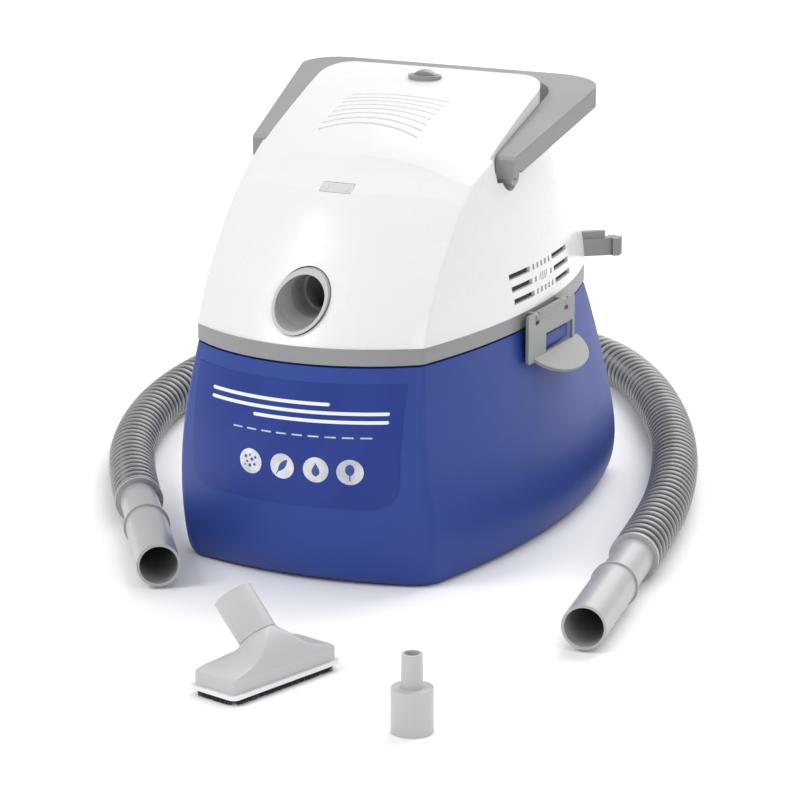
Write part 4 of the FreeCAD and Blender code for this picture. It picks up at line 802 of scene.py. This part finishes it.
@dataclass
class Hose:
    """Loose ribbed hose, lying round the back of the machine."""

    finishes: Finishes
    radius: float = 20.0 * MM
    groove_depth: float = 3.2 * MM
    groove_edge: float = 3.0
    pitch: float = 12.0 * MM
    steps: int = 12
    sides: int = 40
    length: float = 1.568
    smoothness: int = 24
    route: tuple[Pair, ...] = ((-186, -114), (-245, -27), (-294, 78), (-325, 180), (-337, 285), (-330, 384),
                               (-286, 472), (-204, 528), (-104, 540), (-12, 498), (58, 415), (114, 322),
                               (162, 222), (200, 118), (228, 14), (245, -84))

    def spline(self) -> bpy.types.Object:
        """Smooth line that the hose follows.

        Returns:
            A curve object, which the caller removes.
        """
        curve = bpy.data.curves.new("hose_line", "CURVE")
        curve.dimensions = "3D"
        line = curve.splines.new("NURBS")
        line.points.add(len(self.route) - 1)
        for point, (x, y) in zip(line.points, self.route):
            point.co = (x * MM, y * MM, self.radius, 1.0)
        line.order_u = 3
        line.use_endpoint_u = True
        line.resolution_u = self.smoothness
        owner = bpy.data.objects.new("hose_line", curve)
        bpy.context.scene.collection.objects.link(owner)
        return owner

    def followed(self) -> list[Vector]:
        """Points read from the smooth line.

        Returns:
            The points in order, from the cuff for the machine to the cuff for the tools.
        """
        owner = self.spline()
        bpy.context.view_layer.update()
        graph = bpy.context.evaluated_depsgraph_get()
        mesh = bpy.data.meshes.new_from_object(owner.evaluated_get(graph), depsgraph=graph)
        points = [v.co.copy() for v in mesh.vertices]
        bpy.data.meshes.remove(mesh)
        bpy.data.objects.remove(owner)
        return points

    def rib_tree(self) -> bpy.types.NodeTree:
        """Tree that sweeps a ribbed tube along the line.

        Returns:
            The tree.
        """
        w, inside, outside = open_growth("ribbed_tube", {"Radius": self.radius, "Depth": self.groove_depth,
                                                         "Pitch": self.pitch, "Steps": self.steps,
                                                         "Sides": self.sides, "Finish": None})
        step = w.math("DIVIDE", inside.outputs["Pitch"], inside.outputs["Steps"])
        dense = w.add("GeometryNodeResampleCurve", {"Curve": inside.outputs["Geometry"], "Length": step},
                      mode="LENGTH")
        along = w.add("GeometryNodeSplineParameter").outputs["Length"]
        phase = w.math("FRACT", w.math("DIVIDE", along, inside.outputs["Pitch"]))
        arch = w.math("ABSOLUTE", w.math("COSINE", w.math("MULTIPLY", phase, math.pi)))
        groove_and_shade = w.math("POWER", arch, self.groove_edge)
        # The groove profile sinks the tube between the ribs and is stored for the vinyl, which uses it to
        # paint shade into the grooves.
        marked = w.add("GeometryNodeStoreNamedAttribute",
                       {"Geometry": dense.outputs[0], "Name": "groove_and_shade", "Value": groove_and_shade},
                       data_type="FLOAT", domain="POINT")
        sunk = w.math("MULTIPLY", groove_and_shade, inside.outputs["Depth"])
        share = w.math("DIVIDE", sunk, inside.outputs["Radius"])
        ring = w.add("GeometryNodeCurvePrimitiveCircle", {"Resolution": inside.outputs["Sides"],
                                                          "Radius": inside.outputs["Radius"]})
        tube = w.add("GeometryNodeCurveToMesh", {"Curve": marked.outputs[0], "Profile Curve": ring.outputs[0],
                                                 "Scale": w.math("SUBTRACT", 1.0, share), "Fill Caps": True})
        smooth = w.add("GeometryNodeSetShadeSmooth", {"Geometry": tube.outputs[0], "Shade Smooth": True})
        real = w.add("GeometryNodeRealizeInstances", {"Geometry": smooth.outputs[0]})
        done = w.add("GeometryNodeSetMaterial", {"Geometry": real.outputs[0],
                                                 "Material": inside.outputs["Finish"]})
        w.link(done.outputs[0], outside.inputs["Geometry"])
        return w.tree

    def build(self) -> None:
        points = self.followed()
        mesh = grown(self.spline(), self.rib_tree(), {"Finish": self.finishes.get("hose_grey")})
        mesh.name = "hose_ribbed"
        tube = add_piece("hose_ribbed", mesh, "tank")
        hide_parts("hose_tube")
        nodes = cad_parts
        for cuff in ("hose_cuff_machine", "hose_cuff_tool"):
            self.finishes.dress(nodes[cuff], "cuff_grey")


# ---------------------------------------------------------------- label


def bar(length: float, half: float) -> Outline:
    """Outline of a bar with round ends.

    Args:
        length: Its whole length.
        half: Half its width.

    Returns:
        Half-width as a function of the share of the length.
    """
    def width(share: float) -> float:
        """Half-width at that share of the length."""
        end = min(share, 1 - share) * length
        return half if end >= half else math.sqrt(max(half ** 2 - (half - end) ** 2, 0))
    return width


def disc(radius: float) -> Outline:
    """Outline of a disc of that radius."""
    return lambda share: radius * math.sqrt(max(1 - (2 * share - 1) ** 2, 0))


@dataclass
class Label:
    """Print on the front label: plain stripes and four signs on silver discs."""

    finishes: Finishes
    discs: tuple[Pair, ...] = ((-27.2, 99.6), (1.5, 99.3), (29.5, 99.0), (56.0, 98.4))
    disc_r: float = 10.2
    stripes: tuple[tuple[float, float, float, float], ...] = ((-70, 38, 150.5, 2.6), (-70, 82, 144.0, 2.6),
                                                              (-26, 82, 137.5, 2.6))
    dashes: int = 9
    dash_start: Pair = (-40.0, 125.6)
    dash_step: float = 13.4
    dash_length: float = 9.0
    dash_half: float = 0.6
    ink_top: float = 0.1
    sign_top: float = 0.18
    ink_foot: float = 0.02
    thinnest: float = 0.02
    outside_y: float = -0.5
    specks: tuple[tuple[float, float, float], ...] = (
        (-4.5, 3.4, 1.3), (-0.6, 4.8, 0.9), (-3.2, -0.6, 1.0), (1.4, 1.6, 1.4),
        (4.6, 3.6, 1.1), (-0.8, -3.6, 1.4), (3.6, -2.4, 1.2), (-5.4, -3.4, 0.8))

    def __post_init__(self) -> None:
        """Keep the label's surface to print on."""
        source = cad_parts["tank_label"].data
        self.surface = BVHTree.FromPolygons([v.co for v in source.vertices],
                                            [tuple(p.vertices) for p in source.polygons])

    def on_label(self, x: float, z: float, lift: float) -> Vector:
        """Point over the label's face.

        Args:
            x: Place across the label, in millimetres.
            z: Height over the floor, in millimetres.
            lift: Distance off the face, in millimetres.

        Returns:
            The point, in metres.
        """
        start = Vector((x * MM, self.outside_y, z * MM))
        hit, *_ = self.surface.ray_cast(start, Vector((0.0, 1.0, 0.0)))
        if hit is None:
            raise ValueError(f"the label has no face at {x}, {z}")
        return hit - Vector((0.0, lift * MM, 0.0))

    def patch(self, build: bmesh.types.BMesh, centre: Pair, turn: float, length: float, outline: Outline,
              lift: float, along: int = 14, across: int = 4) -> None:
        """Add a thin raised shape.

        Args:
            build: Mesh under construction.
            centre: Middle of the shape on the label.
            turn: Its heading in degrees, from level.
            length: Its length.
            outline: Half-width as a function of the share of the length.
            lift: Height of its top over the label.
            along: Faces along it.
            across: Faces across it.
        """
        c, s = math.cos(math.radians(turn)), math.sin(math.radians(turn))
        layers = []
        for level in (lift, self.ink_foot):
            grid = []
            for i in range(along + 1):
                share = 0.5 - 0.5 * math.cos(math.pi * i / along)
                half = max(outline(share), self.thinnest)
                u = (share - 0.5) * length
                row = []
                for j in range(across + 1):
                    v = half * (2 * j / across - 1)
                    place = self.on_label(centre[0] + u * c - v * s, centre[1] + u * s + v * c, level)
                    row.append(build.verts.new(place))
                grid.append(row)
            layers.append(grid)
        top, low = layers
        for i in range(along):
            for j in range(across):
                build.faces.new((top[i][j], top[i + 1][j], top[i + 1][j + 1], top[i][j + 1]))
                build.faces.new((low[i][j], low[i][j + 1], low[i + 1][j + 1], low[i + 1][j]))
            build.faces.new((top[i][0], low[i][0], low[i + 1][0], top[i + 1][0]))
            build.faces.new((top[i][across], top[i + 1][across], low[i + 1][across], low[i][across]))
        for j in range(across):
            build.faces.new((top[0][j], top[0][j + 1], low[0][j + 1], low[0][j]))
            build.faces.new((top[along][j], low[along][j], low[along][j + 1], top[along][j + 1]))

    def finish(self, build: bmesh.types.BMesh, name: str, finish: str) -> None:
        """Close the mesh, turn its faces out and add it.

        Args:
            build: Mesh under construction.
            name: Name of the piece.
            finish: Name of its finish.
        """
        bmesh.ops.recalc_face_normals(build, faces=build.faces)
        mesh = bpy.data.meshes.new(name)
        build.to_mesh(mesh)
        build.free()
        self.finishes.dress(add_piece(name, mesh, "tank"), finish)

    def build(self) -> None:
        """Print the stripes, the dashes, the discs and the signs."""
        stripes = bmesh.new()
        for x0, x1, z, height in self.stripes:
            length = x1 - x0
            self.patch(stripes, ((x0 + x1) / 2, z), 0, length, bar(length, height / 2), self.ink_top, 60, 2)
        self.finish(stripes, "label_stripes", "print_white")
        dashes = bmesh.new()
        first, level = self.dash_start
        for i in range(self.dashes):
            self.patch(dashes, (first + i * self.dash_step, level), 0, self.dash_length,
                       bar(self.dash_length, self.dash_half), self.ink_top, 12, 2)
        self.finish(dashes, "label_dashes", "print_silver")
        discs = bmesh.new()
        for centre in self.discs:
            self.patch(discs, centre, 0, 2 * self.disc_r, disc(self.disc_r), self.ink_top, 28, 8)
        self.finish(discs, "label_discs", "print_silver")
        signs = bmesh.new()
        for centre, sign in zip(self.discs, Pictogram):
            self.sign(signs, centre, sign)
        self.finish(signs, "label_signs", "print_blue")

    def sign(self, build: bmesh.types.BMesh, centre: Pair, sign: Pictogram) -> None:
        """Add one plain sign to the mesh.

        Args:
            build: Mesh under construction.
            centre: Middle of its disc on the label.
            sign: Which sign.
        """
        x, z = centre
        top = self.sign_top
        if sign is Pictogram.DUST:
            for dx, dz, radius in self.specks:
                self.patch(build, (x + dx, z + dz), 0, 2 * radius, disc(radius), top, 8, 2)
        elif sign is Pictogram.LEAF:
            self.patch(build, (x + 0.5, z + 0.6), 52, 13.0, lambda s: 2.5 * math.sin(math.pi * s) ** 0.8, top)
            self.patch(build, (x - 4.2, z - 5.2), 52, 3.4, lambda s: 0.4, top, 4, 2)
        elif sign is Pictogram.DROP:
            self.patch(build, (x, z + 0.4), 90, 11.5,
                       lambda s: 3.7 * math.sin(math.pi * s) ** 0.7 * (1 - s) ** 0.8 * 1.35, top)
        else:
            self.patch(build, (x, z + 1.8), 90, 9.0, disc(3.5), top)
            self.patch(build, (x, z - 4.8), 90, 4.6, lambda s: 0.5, top, 4, 2)


# ---------------------------------------------------------------- floor tool


@dataclass
class FloorTool:
    """Upholstery nozzle with tapered bristles in strips along its rim."""

    finishes: Finishes
    centre: Pair = (91.5, -421.0)
    turn: float = 74.0
    length: float = 114.0
    width: float = 46.0
    edge: float = 3.5
    strip: float = 3.0
    corner: float = 7.0
    height: float = 5.2
    density: float = 3.2e6
    root: float = 0.00024
    tip: float = 0.0001
    lean: float = 0.09
    whole_turn: float = 6.28
    shortest: float = 0.9

    def strips(self) -> bpy.types.Object:
        """Flat strips under the rim that the bristles stand in.

        Returns:
            A mesh object, which the caller removes.
        """
        place = Matrix.Translation((self.centre[0] * MM, self.centre[1] * MM, self.height * MM)) @ \
            Matrix.Rotation(math.radians(self.turn), 4, "Z")
        build = bmesh.new()
        long_half, short_half = self.length / 2 - self.corner, self.width / 2 - self.corner
        for side in (-1, 1):
            y = side * (self.width / 2 - self.edge)
            x = side * (self.length / 2 - self.edge)
            half = self.strip / 2
            for x0, x1, y0, y1 in ((-long_half, long_half, y - half, y + half),
                                   (x - half, x + half, -short_half, short_half)):
                corners = [build.verts.new(place @ Vector((a * MM, b * MM, 0)))
                           for a, b in ((x0, y0), (x1, y0), (x1, y1), (x0, y1))]
                build.faces.new(corners)
        mesh = bpy.data.meshes.new("bristle_strips")
        build.to_mesh(mesh)
        build.free()
        owner = bpy.data.objects.new("bristle_strips", mesh)
        bpy.context.scene.collection.objects.link(owner)
        return owner

    def tuft_tree(self) -> bpy.types.NodeTree:
        """Tree that hangs tapered filaments from the strips.

        Returns:
            The tree.
        """
        w, inside, outside = open_growth(
            "bristle_tufts", {"Density": self.density, "Height": self.height * MM, "Root": self.root,
                              "Tip": self.tip, "Seed": SEED, "Finish": None})
        spots = w.add("GeometryNodeDistributePointsOnFaces", {"Mesh": inside.outputs["Geometry"],
                                                              "Density": inside.outputs["Density"],
                                                              "Seed": inside.outputs["Seed"]})
        cone = w.add("GeometryNodeMeshCone", {"Vertices": 5, "Side Segments": 1,
                                              "Radius Top": inside.outputs["Root"],
                                              "Radius Bottom": inside.outputs["Tip"],
                                              "Depth": inside.outputs["Height"]})
        shift = w.add("ShaderNodeCombineXYZ", {2: w.math("MULTIPLY", inside.outputs["Height"], -1.0)})
        hung = w.add("GeometryNodeTransform", {"Geometry": cone.outputs["Mesh"],
                                               "Translation": shift.outputs[0]})
        low, high = (-self.lean, -self.lean, 0.0), (self.lean, self.lean, self.whole_turn)
        lean = w.add("FunctionNodeRandomValue", {0: low, 1: high, "Seed": inside.outputs["Seed"]},
                     data_type="FLOAT_VECTOR")
        size = w.add("FunctionNodeRandomValue", {2: self.shortest, 3: 1.0, "Seed": inside.outputs["Seed"]},
                     data_type="FLOAT")
        stood = w.add("GeometryNodeInstanceOnPoints", {"Points": spots.outputs["Points"],
                                                       "Instance": hung.outputs[0],
                                                       "Rotation": lean.outputs[0], "Scale": size.outputs[1]})
        real = w.add("GeometryNodeRealizeInstances", {"Geometry": stood.outputs[0]})
        done = w.add("GeometryNodeSetMaterial", {"Geometry": real.outputs[0],
                                                 "Material": inside.outputs["Finish"]})
        w.link(done.outputs[0], outside.inputs["Geometry"])
        return w.tree

    def build(self) -> None:
        """Grow the bristles and dress the nozzle."""
        mesh = grown(self.strips(), self.tuft_tree(), {"Finish": self.finishes.get("bristle_dark")})
        tufts = add_piece("nozzle_tufts", mesh, "nozzle")
        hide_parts("nozzle_bristles")
        self.finishes.dress(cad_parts["nozzle_body"], "tool_grey")
        self.finishes.dress(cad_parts["nozzle_rim"], "tool_white")


# ---------------------------------------------------------------- carried-over nodes


@dataclass
class Housing:
    """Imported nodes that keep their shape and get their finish."""

    finishes: Finishes
    wardrobe: dict = field(default_factory=lambda: {
        "head_white": ["head_shell"],
        "trim_grey": ["head_band", "handle_bail", "latch_right", "latch_left", "cord_hooks", "switch_bezel",
                      "power_button"],
        "tank_blue": ["tank_shell"],
        "label_film": ["tank_label"],
        "lens": ["indicator_window"],
        "cuff_grey": ["inlet_tube", "blower_outlet"],
        "tool_grey": ["adapter"],
        "tool_white": ["float_cup"],
        "foot_rubber": ["foot_pads", "inlet_seal"],
        "plate_black": ["motor_deck", "motor_housing", "filter_cage", "filter_ring", "switch_body",
                        "cord_gland", "cooling_fan"],
        "pin_steel": ["handle_pins", "latch_pins", "motor_shaft", "bearings", "button_spring"],
        "screw_zinc": ["head_screws", "deck_screws", "cage_screws", "shaft_nut"],
        "fan_alu": ["fan_casing", "impeller"],
        "laminate": ["stator", "armature"],
        "winding": ["field_coils", "commutator"],
        "carbon": ["carbon_brushes"],
        "holder_brass": ["brush_holders"],
        "foam_dark": ["exhaust_foam", "filter_sleeve", "head_gasket", "motor_gasket"],
    })

    def build(self) -> None:
        """Dress every node."""
        for finish, names in self.wardrobe.items():
            for name in names:
                self.finishes.dress(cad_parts[name], finish)
            log.info("%s: %s", finish, ", ".join(names))


def main() -> None:
    """Build the scene in order."""
    logging.basicConfig(level=logging.INFO, format="%(message)s")
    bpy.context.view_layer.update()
    studio = Studio()
    studio.camera()
    finishes = Finishes()
    Hose(finishes).build()
    studio.light()
    studio.floor()
    Housing(finishes).build()
    Label(finishes).build()
    FloorTool(finishes).build()


if __name__ == "__main__":
    main()
